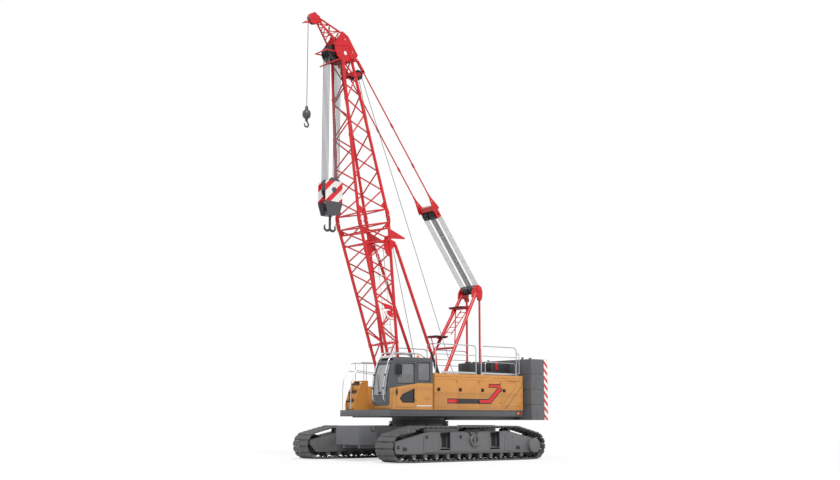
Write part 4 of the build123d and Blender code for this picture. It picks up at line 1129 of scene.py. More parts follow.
sheaves = Shape()
sheave_rows = [(index - 2.5) * 0.076 for index in range(6)]
deflector, jib_tip = on_boom(12.16, 0, -0.80), Vector((4.94, 0, 15.75))
for y in sheave_rows:
    sheave(sheaves, head_pin + Vector((0, y, 0)), 0.325, 0.228, 0.07)
for y in (-0.09, 0.09):
    sheave(sheaves, deflector + Vector((0, y, 0)), 0.19, 0.155, 0.12, 0.05)
sheave(sheaves, jib_tip, 0.19, 0.155, 0.08, 0.05)
sheaves.crossbar(head_pin, 0.3097, 0.06, 32)
sheaves.crossbar(deflector, 0.169, 0.04, 24)
sheaves.crossbar(jib_tip, 0.0547, 0.03, 24)
piece("boom_head_sheaves", sheaves, "boom", sheave_black, ["boom_sheaves"], sharp=28)

# %% [markdown]
# The short tip jib carries the single line. It tapers from the head plates to two small
# cheeks that hold one sheave between them, and a horn stands over the sheave so that a slack
# rope can't jump out of the groove.

# %% Tip jib
def near_tip(x, y, z):
    """A point given from the middle of the tip sheave."""
    return jib_tip + Vector((x, y, z))


jib = Shape()
base_low, base_high = on_boom(13.33, 0, 0.06), on_boom(13.62, 0, -0.33)
runs = []
for side in (-1, 1):
    for root, height in ((base_low, -0.06), (base_high, 0.06)):
        runs.append((Vector((root.x, side * 0.277, root.z)), near_tip(-0.2, side * 0.075, height)))
for start, end in runs:
    jib.bar(start, end, 0.032, sides=18)
for first, second, count, share in ((0, 1, 5, 0.02), (2, 3, 5, 0.02), (1, 3, 5, 0.02), (0, 2, 4, 0.25)):
    for start, end in zigzag(runs[first], runs[second], count, share, 0.95):
        jib.bar(start, end, 0.018, sides=12)
cheek = [(-0.245, -0.13), (0.0, -0.215), (0.15, -0.15), (0.215, 0.0), (0.15, 0.15), (0.0, 0.215),
         (-0.245, 0.13)]
tip_boss = [(0.0, 0.085), (0.055, 0.085), (0.055, 0.1), (0.0, 0.104)]
knuckle = [(13.24, 0.04), (13.38, 0.1), (13.7, -0.33), (13.56, -0.4)]
for side in (-1, 1):
    y = side * 0.07
    jib.plate(shifted(cheek, jib_tip.x, jib_tip.z), "Y", side * 0.055, side * 0.085)
    jib.turned(sided(tip_boss, side), jib_tip, "Y", 24)
    jib.plate(boom_outline(knuckle), "Y", side * 0.262, side * 0.3097)
    rail(jib, [near_tip(-0.14, y, 0.14), near_tip(-0.06, y, 0.235), near_tip(0.03, y, 0.21)], 0.014, 0.05)
    jib.bar(near_tip(0.1, y, -0.15), near_tip(0.36, y, -0.21), 0.017, sides=14)
jib.crossbar(near_tip(0.36, 0, -0.21), 0.12, 0.022, 14)
jib.crossbar(on_boom(13.6, 0, -0.33), 0.277, 0.035)
piece("tip_jib_lattice", jib, "boom", boom_red, ["tip_jib"], sharp=40)
print("boom done,", len(made_pieces), "pieces")

# %% [markdown]
# The gantry holds the boom hoist's fixed sheaves high above the winches. Two long tubular
# legs lean back to the peak, two upright links take the pull down to the deck, and platforms
# with a ladder between them let a fitter reach the sheaves.

# %% Gantry
peak = Vector((-2.63, 0, 6.43))
leg_foot_x, leg_foot_z, leg_top_drop = -0.06, 1.95, 0.18
gantry = Shape()
legs = []
for side in (-1, 1):
    top_end = Vector((peak.x + 0.12, side * 0.4, peak.z - leg_top_drop))
    foot = Vector((leg_foot_x, side * 0.72, leg_foot_z))
    run = (foot - top_end).normalized()
    gantry.bar(top_end, foot, 0.065, sides=24)
    gantry.bar(foot - run * 0.32, foot - run * 0.05, 0.065, 0.088, sides=24)
    legs.append((top_end, foot))


def on_leg(index, share):
    """A point on a gantry leg, from its top to its foot."""
    return legs[index][0].lerp(legs[index][1], share)


for share in (0.12, 0.5, 0.86):
    gantry.bar(on_leg(0, share), on_leg(1, share), 0.04, sides=18)
for first, last in ((0.12, 0.5), (0.5, 0.86)):
    gantry.bar(on_leg(0, first), on_leg(1, last), 0.022, sides=14)
cheek = [(-0.2, -0.33), (0.33, -0.33), (0.30, -0.10), (0.16, 0.12), (0.0, 0.17), (-0.16, 0.09), (-0.22, -0.1)]
peak_boss = [(0.0, 0.43), (0.10, 0.43), (0.10, 0.45), (0.06, 0.46), (0.0, 0.465)]
leg_eye = mirrored([(0.045, -0.0697), (0.09, -0.0697)]) + [(0.045, -0.0697)]
for side in (-1, 1):
    hole = (peak.x + 0.16, peak.z - 0.2, 0.05)
    gantry.plate(shifted(cheek, peak.x, peak.z), "Y", side * 0.37, side * 0.43, [hole])
    gantry.turned(sided(peak_boss, side), peak, "Y", 32)
    gantry.turned(leg_eye, (leg_foot_x, side * 0.72, leg_foot_z), "Y", 32)
piece("gantry_frame", gantry, "upper", boom_red, ["gantry"], sharp=40)

reeve_lanes = [side * lane for side in (-1, 1) for lane in (0.07, 0.13, 0.19, 0.25, 0.31)]
gantry_wheels = Shape()
for y in reeve_lanes:
    sheave(gantry_wheels, peak + Vector((0, y, 0)), 0.172, 0.151, 0.052, 0.08)
gantry_wheels.crossbar(peak, 0.3697, 0.06, 28)
piece("gantry_sheave_set", gantry_wheels, "upper", sheave_black, ["gantry_sheaves"], sharp=28)

rear = Shape()
link_x = -2.73
for y in (-0.37, 0.37):
    for low_z, high_z, low_radius, high_radius, sides in (
        (3.5, peak.z - 0.33, 0.04, 0.04, 20), (1.77, 3.40, 0.07, 0.07, 24), (3.40, 3.56, 0.07, 0.042, 24),
    ):
        rear.bar((link_x, y, low_z), (link_x, y, high_z), low_radius, high_radius, sides)
    for z, reach in ((3.50, 0.07), (peak.z - 0.36, 0.09)):
        rear.turned([(0.0, -0.05), (reach, -0.05), (reach, 0.05), (0.0, 0.05)], (link_x, y, z), "Y", 28)
piece("gantry_links", rear, "upper", boom_red, ["gantry_rear_legs"], sharp=40)

platforms, treads = Shape(), Shape()
for z, x_front, x_rear, y_low, y_high in ((5.72, -2.02, -2.48, -0.66, 0.1), (4.56, -1.0, -1.62, -0.8, -0.2)):
    treads.box((x_rear, y_low, z), (x_front, y_high, z + 0.04), edge=0.008)
    for x in (x_rear + 0.06, x_front - 0.06):
        platforms.bar((x, y_low + 0.02, z - 0.025), (x, y_high - 0.02, z - 0.025), 0.024, sides=12)
    share = (peak.z - leg_top_drop - z) / (peak.z - leg_top_drop - leg_foot_z)
    spot = on_leg(0, share)
    platforms.bar((x_front - 0.06, spot.y, z - 0.03), spot, 0.024, sides=12)
    platforms.bar((x_front - 0.04, spot.y, z - 0.03), on_leg(0, share + 0.13), 0.02, sides=12)
ladder_top, ladder_foot = Vector((-2.28, 0, 5.62)), Vector((-1.42, 0, 4.62))
for y in (-0.19, 0.19):
    platforms.bar(ladder_top + Vector((0, y, 0)), ladder_foot + Vector((0, y, 0)), 0.02, sides=12)
for index in range(5):
    platforms.crossbar(ladder_top.lerp(ladder_foot, (index + 0.5) / 5), 0.19, 0.014, 10)
piece("gantry_platform_frames", platforms, "upper", boom_red, sharp=40)
piece("gantry_platform_treads", treads, "upper", step_black)

# %% [markdown]
# The hoist line runs from the peak to the boom head: ten lanes of rope to a bridle with its
# own sheaves, then two solid pendant bars to the ears of the head. The ropes change length
# when the boom lowers; their mesh rides on no body and keeps its place in its points.

# %% Ropes with a lay
pendant_eye = on_boom(12.63, 0, -0.614)
line_run = pendant_eye - peak
line_length = line_run.length
line = Member(peak, (line_run.x / line_length, line_run.z / line_length))


def rope(runs, radius):
    """Round ropes whose surface map runs in metres along them, for the lay of the strands."""
    shape = Shape()
    for points in runs:
        mesh = along_line(points, radius, sides=2)
        length = sum((Vector(b) - Vector(a)).length for a, b in zip(points, points[1:]))
        for corner in mesh.uv_layers[0].data if mesh.uv_layers else []:
            corner.uv = (corner.uv[0] * length, corner.uv[1])
        shape.stamp(mesh, Matrix())
    return shape


rope_radius, reeve_rope_radius = 0.013, 0.009
rope_offset = 0.16 + clearance_gap + reeve_rope_radius
bridle_along = 3.4
reeving = []
for left in sorted(reeve_lanes):
    for above in (-rope_offset, rope_offset):
        reeving.append([line.point(along, left, above) for along in (0, 1.1, 2.2, bridle_along)])
reeve_mesh = rope(reeving, reeve_rope_radius)
hoist_ropes = piece("boom_hoist_ropes", reeve_mesh, None, rope_steel, ["hoist_ropes"])
tuple(line.point(0.1))
tuple(line.point(3.3))
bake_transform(hoist_ropes)

# %% Bridle and pendants
bridle, bridle_wheels = Shape(), Shape()
bridle_pin = line.point(bridle_along)
cheek = [(3.25, -0.07), (3.29, -0.11), (3.72, -0.11), (3.80, -0.07), (3.80, 0.07), (3.72, 0.11),
         (3.29, 0.11), (3.25, 0.07)]
link = [(3.56, -0.16), (3.56, 0.16), (3.66, 0.16), (4.12, 0.04), (4.30, 0.032), (4.30, -0.032),
        (4.12, -0.04), (3.66, -0.16)]
link_holes = line.holes((3.72, -0.07, 0.022), (3.72, 0.07, 0.022), (3.96, 0.0, 0.022))
for side in (-1, 1):
    bridle.plate(line.outline(cheek), "Y", side * 0.37, side * 0.40)
    bridle.plate(line.outline(link), "Y", side * 0.415, side * 0.445, link_holes)
for y in reeve_lanes:
    sheave(bridle_wheels, bridle_pin + Vector((0, y, 0)), 0.172, 0.151, 0.052, 0.07)
bridle.plate(line.outline([(3.59, -0.08), (3.59, 0.08), (3.77, 0.08), (3.77, -0.08)]), "Y", -0.43, 0.43)
bridle_wheels.crossbar(bridle_pin, 0.4, 0.045, 24)
piece("hoist_bridle", bridle, "hoist_line", boom_red, ["bridle"], 0.004)
piece("hoist_bridle_sheaves", bridle_wheels, "hoist_line", sheave_black, sharp=28)

pendants = Shape()
far = line_length
block = [(far - 0.54, -0.045), (far - 0.54, 0.045), (far - 0.42, 0.045), (far - 0.42, -0.045)]
tongue = [(far - 0.48, -0.045), (far - 0.48, 0.045), (far + 0.02, 0.045),
          (far + 0.06, 0.02), (far + 0.06, -0.02), (far + 0.02, -0.045)]
for left in (-0.43, 0.43):
    for start, end, radius in ((4.01, far - 0.48, 0.025), (5.41, 5.59, 0.04), (7.11, 7.29, 0.04)):
        pendants.bar(line.point(start, left), line.point(end, left), radius, sides=20)
    pendants.plate(line.outline(block), "Y", left - 0.035, left + 0.035)
    for shift in (-0.035, 0.0153):
        pendants.plate(line.outline(tongue), "Y", left + shift, left + shift + 0.0197)
piece("hoist_pendants", pendants, "hoist_line", boom_red, ["pendants"], 0.003)

# %% [markdown]
# Two backstops keep the boom from going over backwards. Each is a red tube with a dark rod
# that slides in it, and a fork with a pin at either end.

# %% Backstops
stop_pin, stop_foot = on_boom(5.77, 0, -0.807), Vector((-0.42, 0, 3.12))
stop_length = (stop_foot - stop_pin).length
stop_way = (stop_foot - stop_pin) / stop_length
stop = Member(stop_pin, (stop_way.x, stop_way.z))
crown, past = stop_length - 0.33, stop_length + 0.03
stop_tubes, stop_rods = Shape(), Shape()
tube_ear = [(-0.05, -0.02), (-0.05, 0.02), (-0.02, 0.045), (0.26, 0.045), (0.26, -0.045), (-0.02, -0.045)]
rod_ear = [(crown, -0.045), (crown, 0.045), (past, 0.045), (past + 0.03, 0.02), (past + 0.03, -0.02),
           (past, -0.045)]
rod_crown = [(crown - 0.04, -0.05), (crown - 0.04, 0.05), (crown + 0.02, 0.05), (crown + 0.02, -0.05)]
for left in (-0.605, 0.605):
    for start, end, radius in ((0.2, 4.2, 0.057), (0.28, 0.34, 0.066), (4.13, 4.19, 0.066)):
        stop_tubes.bar(stop.point(start, left), stop.point(end, left), radius, sides=28)
    for low, high in ((-0.0353, -0.0153), (0.0153, 0.0353)):
        stop_tubes.plate(stop.outline(tube_ear), "Y", left + low, left + high)
    stop_rods.bar(stop.point(stop_length - 3.0, left), stop.point(crown, left), 0.045, sides=28)
    stop_rods.plate(stop.outline(rod_crown), "Y", left - 0.05, left + 0.05)
    for low, high in ((-0.05, -0.0253), (0.0253, 0.05)):
        stop_rods.plate(stop.outline(rod_ear), "Y", left + low, left + high)
    stop_rods.crossbar(stop.point(stop_length, left), 0.06, 0.028)
piece("backstop_outer_tubes", stop_tubes, "backstop_tubes", boom_red, ["backstop_tubes"],
      sharp=40)
piece("backstop_inner_rods", stop_rods, "backstop_rods", sheave_black, ["backstop_rods"],
      sharp=40)

# %% [markdown]
# Twelve falls carry the hook block. The block is two tall cheek plates with the sheaves
# between them, painted white with red warning stripes so that it can be seen from the cab,
# and dark weights below. The stripes are a band of slanting colour in the paint.

# %% Striped paint
def striped(name, ground, stripe, pitch, width, slant, band=None):
    """Paint with slanting stripes, drawn from the piece's own side-on position."""
    finish = Finish(name, ground, 0.38, coat=0.2)
    x, y, z = [finish.place.axis(letter) for letter in "XYZ"]
    across = x * slant[0] + y * slant[1] + z * slant[2]
    wave = finish.node("ShaderNodeMath", {"operation": "PINGPONG"}, {0: across, 1: pitch / 2})
    mask = wave < width / 2
    if band:
        mask = mask * z.between(*band)
    wear = finish.noise(30, 4.0).ramp(0.66, 0.74) * 0.5
    clouds = finish.noise(2.0, 2.0)
    paint = finish.shaded(finish.over(mask, ground, stripe), 0.9 + clouds * 0.18)
    finish.set(Base_Color=finish.over(wear, paint, tone(150, 148, 144)))
    return finish.orange_peel(200)


fall_length = 5.108
block_z = head_pin.z - fall_length
stripe_band = (block_z - 0.45, block_z + 0.43)
hook_white = striped(
    "hook_block_white_and_red", tone(232, 232, 230), tone(214, 20, 34), 0.42, 0.18, (0.72, 0.0, 0.72),
    stripe_band,
)
corner_stripes = striped(
    "corner_red_and_white", tone(238, 238, 236), tone(214, 12, 26), 0.21, 0.095, (0.75, 0.75, -0.72),
)

# %% Falls and hook block
hook_x = head_pin.x
fall_offset = 0.228 + rope_radius + clearance_gap
falls = []
for y in sheave_rows:
    for x in (hook_x - fall_offset, hook_x + fall_offset):
        falls.append([Vector((x, y, block_z)), Vector((x, y, head_pin.z))])
piece("main_hoist_falls", rope(falls, rope_radius), "main_line", rope_steel, ["main_falls"])

cheeks, lower_cheeks, block_wheels = Shape(), Shape(), Shape()
upper_part = [(-0.30, 0.33), (0.30, 0.33), (0.36, 0.27), (0.36, -0.42), (-0.36, -0.42), (-0.36, 0.27)]
cap = [(-0.24, 0.33), (-0.13, 0.44), (0.13, 0.44), (0.24, 0.33)]
lower_part = [(-0.36, -0.42), (0.36, -0.42), (0.36, -0.5), (0.23, -0.9), (-0.23, -0.9), (-0.36, -0.5)]
block_boss = [(0.0, 0.25), (0.1, 0.25), (0.1, 0.262), (0.06, 0.268), (0.0, 0.27)]
for side in (-1, 1):
    near, far = side * 0.22, side * 0.25
    cheeks.plate(shifted(upper_part, hook_x, block_z), "Y", near, far)
    lower_cheeks.plate(shifted(cap, hook_x, block_z), "Y", near, far, [(hook_x, block_z + 0.385, 0.025)])
    lower_cheeks.plate(shifted(lower_part, hook_x, block_z), "Y", near, far)
    lower_cheeks.turned(sided(block_boss, side), (hook_x, 0, block_z), "Y", 32)
for x in (hook_x - 0.24, hook_x + 0.24):
    lower_cheeks.crossbar((x, 0, block_z - 0.36), 0.25, 0.025, 16)
    lower_cheeks.crossbar((x, 0, block_z + 0.25), 0.25, 0.02, 16)
lower_cheeks.box((hook_x - 0.15, -0.225, block_z - 0.9), (hook_x + 0.15, 0.225, block_z - 0.72), edge=0.015)
for y in sheave_rows:
    sheave(block_wheels, (hook_x, y, block_z), 0.228, 0.19, 0.062, 0.08)
block_wheels.crossbar((hook_x, 0, block_z), 0.225, 0.05, 28)
piece("hook_block_cheeks", cheeks, "main_line", hook_white, ["hook_block"], 0.006)
piece("hook_block_lower", lower_cheeks, "main_line", block_grey, (), 0.004)
piece("hook_block_sheaves", block_wheels, "main_line", sheave_black, sharp=28)

# %% [markdown]
# A hook thickens to the bottom of its bowl and thins to its tip. So each is one smooth curve
# with a radius at each point, from the shank round the bowl.

# %% Hooks, single line and ball weight
def bowl(shape, points, radii, centre, reach, turns, radius, side=1):
    """A hook's curve: some points of its shank, then turns round a centre with shares of the radius."""
    for degrees, share in turns:
        x, z = polar(0, 0, reach, math.radians(degrees))
        points = points + [centre + Vector((side * x, 0, z))]
        radii = radii + [share]
    shape.stamp(along_line(points, radius, radii, smooth=True, sides=6), Matrix())


hook_centre = Vector((hook_x, 0, block_z - 1.33))
double_turns = ((205, 1.02), (235, 1.05), (265, 1.05), (295, 1.0), (325, 0.92), (355, 0.8), (385, 0.66),
                (405, 0.5))
hook_nut = [(0.0, -0.7197), (0.07, -0.7197), (0.08, -0.71), (0.08, -0.65), (0.07, -0.64), (0.0, -0.64)]
hook = Shape()
for side in (-1, 1):
    shank = [hook_centre + Vector((0, 0, height)) for height in (0.12, 0.04)]
    middle = hook_centre + Vector((side * 0.115, 0, 0))
    bowl(hook, shank, [1.0, 1.0], middle, 0.121, double_turns, 0.042, side)
hook.bar(hook_centre + Vector((0, 0, 0.06)), (hook_x, 0, block_z - 0.7), 0.044, sides=28)
hook.turned(hook_nut, (hook_x, 0, block_z), "Z", 6)
piece("main_double_hook", hook, "main_hook", forged_steel, ["main_hook"], sharp=45)

aux_x = jib_tip.x + 0.19 + rope_radius + clearance_gap
ball_top = jib_tip.z - 3.3
aux_rope = rope([[Vector((aux_x, 0, ball_top)), Vector((aux_x, 0, jib_tip.z))]], rope_radius)
piece("single_line", aux_rope, "aux_line", rope_steel, ["aux_rope"])
ball = [
    (0.0, 0.0), (0.03, 0.0), (0.05, -0.03), (0.06, -0.1), (0.06, -0.15), (0.1, -0.17), (0.138, -0.22),
    (0.15, -0.29), (0.15, -0.33), (0.138, -0.4), (0.1, -0.45), (0.06, -0.465), (0.058, -0.5),
    (0.04, -0.52), (0.0, -0.52),
]
ball_weight = Shape().turned(ball, (aux_x, 0, ball_top), "Z", 40)
piece("ball_weight", ball_weight, "aux_line", block_grey, ["aux_weight"], sharp=50)
aux_centre = Vector((aux_x, 0, ball_top - 0.69))
single_turns = ((165, 1.02), (200, 1.1), (235, 1.15), (270, 1.12), (305, 1.02), (340, 0.86), (372, 0.66),
                (392, 0.45))
swivel_nut = [(0.0, 0.0), (0.042, 0.0), (0.05, -0.01), (0.05, -0.04), (0.04, -0.049), (0.0, -0.049)]
single = Shape()
shank = [aux_centre + Vector((x, 0, z)) for x, z in ((0, 0.19), (0, 0.12), (-0.05, 0.085))]
bowl(single, shank, [0.95, 1.0, 1.0], aux_centre, 0.088, single_turns, 0.0265)
single.bar(aux_centre + Vector((0, 0, 0.17)), (aux_x, 0, ball_top - 0.4203), 0.029, sides=24)
single.turned(swivel_nut, (aux_x, 0, ball_top - 0.5203), "Z", 28)
piece("single_hook", single, "aux_hook", forged_steel, ["aux_hook"], sharp=45)
print("hoisting gear done,", len(made_pieces), "pieces")

# %% [markdown]
# The deck is one welded platform. A dark band runs along its edge under the orange houses.
# Its CAD shape is right, so a softened copy takes the paint, with rubbing strips and tail
# lamps laid on its edge.

# %% Deck and boom foot
piece("revolving_deck", from_node("deck"), "upper", deck_paint, ["deck"], 0.006)
foot_pins, deck_trim, housings, lamps, red_lamps = [Shape() for _ in range(5)]
for side in (-1, 1):
    start, middle, end = [Vector((foot_x, side * y, foot_z)) for y in (0.2597, 0.4803, 0.495)]
    foot_pins.bar(start, middle, 0.0597, sides=32)
    foot_pins.bar(middle, end, 0.08, sides=32)
    spots = [polar(foot_x, foot_z, 0.05, angle) for angle in (0.5, 2.6, 4.7)]
    bolts(foot_pins, [(x, side * 0.495, z) for x, z in spots], "Y", side, 0.6)
    y = side * 1.474
    for low, high in ((1.735, 1.765), (1.545, 1.57)):
        deck_trim.box((-3.9, y - 0.012, low), (2.5, y + 0.012, high), edge=0.004)
    y = side * 1.476
    for x in (1.4, 0.5, -0.6, -1.7, -2.8):
        deck_trim.box((x - 0.012, y - 0.01, 1.56), (x + 0.012, y + 0.01, 1.74))
    y = side * 1.484
    housings.box((-3.80, y - 0.012, 1.60), (-3.58, y + 0.012, 1.70), edge=0.008)
    y = side * 1.494
    lamps.box((-3.69, y - 0.01, 1.612), (-3.592, y + 0.01, 1.688), edge=0.008)
    red_lamps.box((-3.788, y - 0.01, 1.612), (-3.70, y + 0.01, 1.688), edge=0.008)
piece("boom_foot_pin_pair", foot_pins, "upper", rod_chrome, ["boom_foot_pins"], sharp=40)
piece("deck_edge_trim", deck_trim, "upper", deck_paint)
piece("tail_lamp_amber", lamps, "upper", lamp_amber)
piece("tail_lamp_red", red_lamps, "upper", lamp_red)
piece("tail_lamp_housings", housings, "upper", rubber)

# %% [markdown]
# The machinery houses are folded sheet in orange-gold. Their side is a row of doors, and one
# red stripe with black edges runs across all of them: low along the front doors, then up and
# back on a slant. Every object keeps its place in its mesh, so one paint that reads object
# coordinates draws a stripe that meets itself across the door gaps.

# %% House paint with its stripe
orange_tone, cab_grey_tone = tone(201, 138, 66), tone(72, 74, 78)


def house_paint():
    """Orange-gold paint with the stripe, painted shade at the shut lines and folds, and a painted highlight.
    """
    finish = Finish("house_orange_paint", orange_tone, 0.34, coat=0.35)
    x, y, z = [finish.place.axis(letter) for letter in "XYZ"]
    outside = y.maths("ABSOLUTE", y) > 1.44

    def strip(middle, half, low_x, high_x, low_z, high_z, lean=(0.0, 1.0)):
        """A straight run of the stripe: near its middle line and between its ends."""
        away = (x - middle[0]) * lean[0] + (z - middle[1]) * lean[1]
        return (away.maths("ABSOLUTE", away) < half) * x.between(low_x, high_x) * z.between(low_z, high_z)

    def band(half):
        more = half - 0.055
        low = strip((0, 2.09), half, -2.21 - more, -0.14 + more, 1.9, 2.3)
        slant = strip((-2.645, 2.515), half + 0.012, -3.0, -2.0, 2.09 - half, 2.53 + more, (0.669, 0.743))
        back = strip((-2.66, 2.58), half + 0.008, -2.9, -2.4, 2.49 - more, 2.71 + more, (0.937, -0.35))
        end = strip((0, 2.672), half - 0.018, -2.70 - more, -2.17 + more, 2.5, 2.8)
        return (low + slant + back + end).clamped() * outside

    red_band, black_band = band(0.055), band(0.092)
    plain_run = x.between(-1.66, -0.56) * z.between(2.0, 2.2) * black_band
    clouds = finish.noise(0.8, 2.0)
    streaks = finish.noise(3.0, 3.0, stretch=(4, 4, 0.3)).ramp(0.52, 0.78)
    up = finish.facing.axis("Z").ramp(0.6, 0.95) * finish.noise(14, 4.0).ramp(0.35, 0.7) * 0.25
    # Painted shade: darker just under the pressed fold of the door sides, where the sheet turns away from the
    # light.
    fold_underside_shade = (z < 2.40) * z.ramp(2.12, 2.40) * outside
    lean_line, upright = (0.696, 0.718), (1.0, 0.0)
    # Painted shade: dark lines where the shut lines and a swept edge of the sheet fall in shade.
    shut_line_shade = strip((0, 2.80), 0.014, -3.50, -3.06, 2.7, 2.9)
    shut_line_shade = shut_line_shade + strip((-3.51, 0), 0.014, -3.6, -3.4, 2.64, 2.80, upright)
    shut_line_shade = shut_line_shade + strip((-3.19, 2.32), 0.014, -3.52, -2.86, 2.0, 2.64, lean_line)
    swept_edge_shade = strip((-3.365, 2.21), 0.034, -3.85, -2.95, 1.8, 2.7, (0.703, 0.711))
    # Painted highlight: a lighter band along a rounded edge near the top.
    top_edge_highlight = strip((-2.17, 2.945), 0.05, -2.42, -1.9, 2.86, 3.04, (0.42, 0.907))
    # The painted shade and highlight of the pressings go into the colour here.
    relief = top_edge_highlight * 0.14 - fold_underside_shade * 0.16 - shut_line_shade * 0.3 - swept_edge_shade * 0.3
    skin = finish.shaded(finish.colour, 0.96 + clouds * 0.12 - streaks * 0.07 + relief)
    skin = finish.over(black_band, skin, tone(34, 14, 14))
    skin = finish.over(red_band, skin, tone(226, 16, 26))
    skin = finish.over(plain_run, skin, tone(34, 30, 32))
    finish.set(
        Base_Color=finish.over(up, skin, dust_tone),
        Roughness=(0.3 + clouds * 0.08 + up * 0.6).clamped(),
    )
    return finish.orange_peel()


house_orange = house_paint()

# %% Houses and their doors
for side, name in both_sides:
    node = f"house_{name}"
    piece(f"machinery_house_{name}", from_node(node), "upper", house_orange, [node], 0.008)

fold = [(-2.90, 2.90), (-3.50, 2.80), (-3.50, 2.66), (-2.98, 1.90), (-3.06, 1.90), (-3.62, 2.70),
        (-3.62, 2.87), (-2.92, 2.94)]
latch_boxes = ((0.07, -0.002, 0.014, 2.44, 2.56), (0.045, 0.012, 0.03, 2.47, 2.50))
for side, name, count in ((1, "left", 4), (-1, "right", 3)):
    face, proud = side * 1.5, side * 1.506
    for number in range(1, count + 1):
        node = f"house_door_{name}_{number}"
        low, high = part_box(node)
        piece(f"{node}_panel", from_node(node), node, house_orange, [node], 0.006)
        pressed, latch = Shape(), Shape()
        for z in (2.87, 1.93):
            pressed.box((low.x + 0.09, face, z - 0.012), (high.x - 0.05, proud, z + 0.012), edge=0.002)
        if number == count and side > 0:
            pressed.plate(fold, "Y", face, proud)
        piece(f"{node}_pressings", pressed, node, house_orange, (), 0.002)
        x = high.x - 0.15
        for half, near, far, bottom, top in latch_boxes:
            latch.box((x - half, face + side * near, bottom), (x + half, face + side * far, top), edge=0.006)
        piece(f"{node}_latch", latch, node, rubber)

# %% [markdown]
# Handrails stand on the house roofs: bent silver tube with a mid rail, on small feet and over
# a toe board. Each loop is one line with eased corners, which is how a tube is really bent.

# %% Handrails
rails, grating = Shape(), Shape()
roof_z, mid_z, rail_z = 3.07, 3.77, 4.14
for side in (-1, 1):
    y = side * 1.42
    for front, rear in ((0.38, -1.58), (-1.84, -3.66)):
        hoop = [(front, roof_z), (front, rail_z), (rear, rail_z), (rear, roof_z)]
        side_rail(rails, hoop, y, 0.019, 0.18)
        side_rail(rails, [(front, mid_z), (rear, mid_z)], y, 0.014)
        rails.box((rear + 0.02, y - 0.006, 3.09), (min(front - 0.02, 0.1), y + 0.006, 3.16), edge=0.003)
        for x in (front, rear):
            rails.box((x - 0.05, y - 0.04, roof_z), (x + 0.05, y + 0.04, 3.085))
    rail(rails, [(0.38, y, rail_z), (0.38, side * 0.95, rail_z), (0.38, side * 0.95, roof_z)], 0.019, 0.18)
    side_rail(rails, [(-2.04, 3.10), (-2.04, 3.54), (-3.60, 3.54), (-3.60, 3.10)], y, 0.014, 0.1)
    grating.box((-3.85, side * 1.18 - 0.24, roof_z), (0.44, side * 1.18 + 0.24, 3.082), edge=0.003)
rear_loop = [(-3.66, 3.92), (-3.80, 3.92), (-3.80, 3.15), (-3.66, 3.15)]
side_rail(rails, rear_loop, 1.42, 0.016, 0.12)
piece("house_handrails", rails, "upper", rail_silver, sharp=45)
piece("house_roof_treads", grating, "upper", step_black)

# %% [markdown]
# The cab has an upper frame in dark grey and a lower body in the house colour, and the line
# between them sweeps up towards the rear. It is drawn in the paint, because on the real cab
# too it is a paint line on one pressing. A band of painted shade runs just under it.

# %% Cab paint
def cab_two_tone():
    """Dark grey above and orange below a line that sweeps up along the side, with painted shade under it."""
    finish = Finish("cab_two_tone_paint", orange_tone, 0.34, coat=0.35)
    x, y, z = [finish.place.axis(letter) for letter in "XYZ"]
    sweep = 2.50 + (2.59 - x) * 0.155
    line = sweep.maths("MINIMUM", sweep, 2.71)
    upper = z > line
    front = (x > 2.515) * (z > 1.93)
    roof = z > 3.3
    inside = y.between(0.6, 1.452) * (z > 1.9)
    back = (x < 0.59) * (z > 2.71)
    dark = (upper + front + roof + inside + back).clamped()
    seam = (z - line).maths("ABSOLUTE", z - line) < 0.012
    clouds = finish.noise(1.0, 2.0)
    skin = finish.shaded(finish.over(dark, finish.colour, cab_grey_tone), 0.95 + clouds * 0.12)
    # Painted shade: a band darker just under the swept line, where the pressed swoosh turns away from the
    # light.
    below = (line - z).ramp(0.09, 0.16) * (1 - (line - z).ramp(0.16, 0.42)) * (1 - dark)
    skin = finish.shaded(skin, 1 - below * 0.16)
    skin = finish.over(seam * 0.7, skin, tone(40, 34, 30))
    finish.set(Base_Color=skin, Roughness=(0.3 + clouds * 0.1).clamped())
    return finish.orange_peel()


cab_skin = cab_two_tone()

# %% Cab, door and glass
piece("cab_body", from_node("cab"), "upper", cab_skin, ["cab"], 0.014)
piece("cab_door_panel", from_node("cab_door"), "cab_door", cab_skin, ["cab_door"], 0.01)
piece("cab_window_panes", from_node("cab_glass"), "upper", glass, ["cab_glass"])
piece("cab_door_pane", from_node("cab_door_glass"), "cab_door", glass, ["cab_door_glass"])
low_pane = [(1.42, 2.02), (1.42, 2.50), (1.94, 2.30), (2.07, 2.15), (1.94, 2.02)]
door_low_glass = Shape().plate(low_pane, "Y", 1.468, 1.474)
piece("cab_door_low_pane", door_low_glass, "cab_door", low_glass)


def rectangle(rear, front, bottom, top):
    """The corners of an upright rectangle, seen from the side."""
    return [(rear, bottom), (front, bottom), (front, top), (rear, top)]


def seal(shape, points, radius=0.012):
    """A rubber seal round a window opening."""
    return shape.stamp(along_line(points + points[:1], radius, sides=2), Matrix())


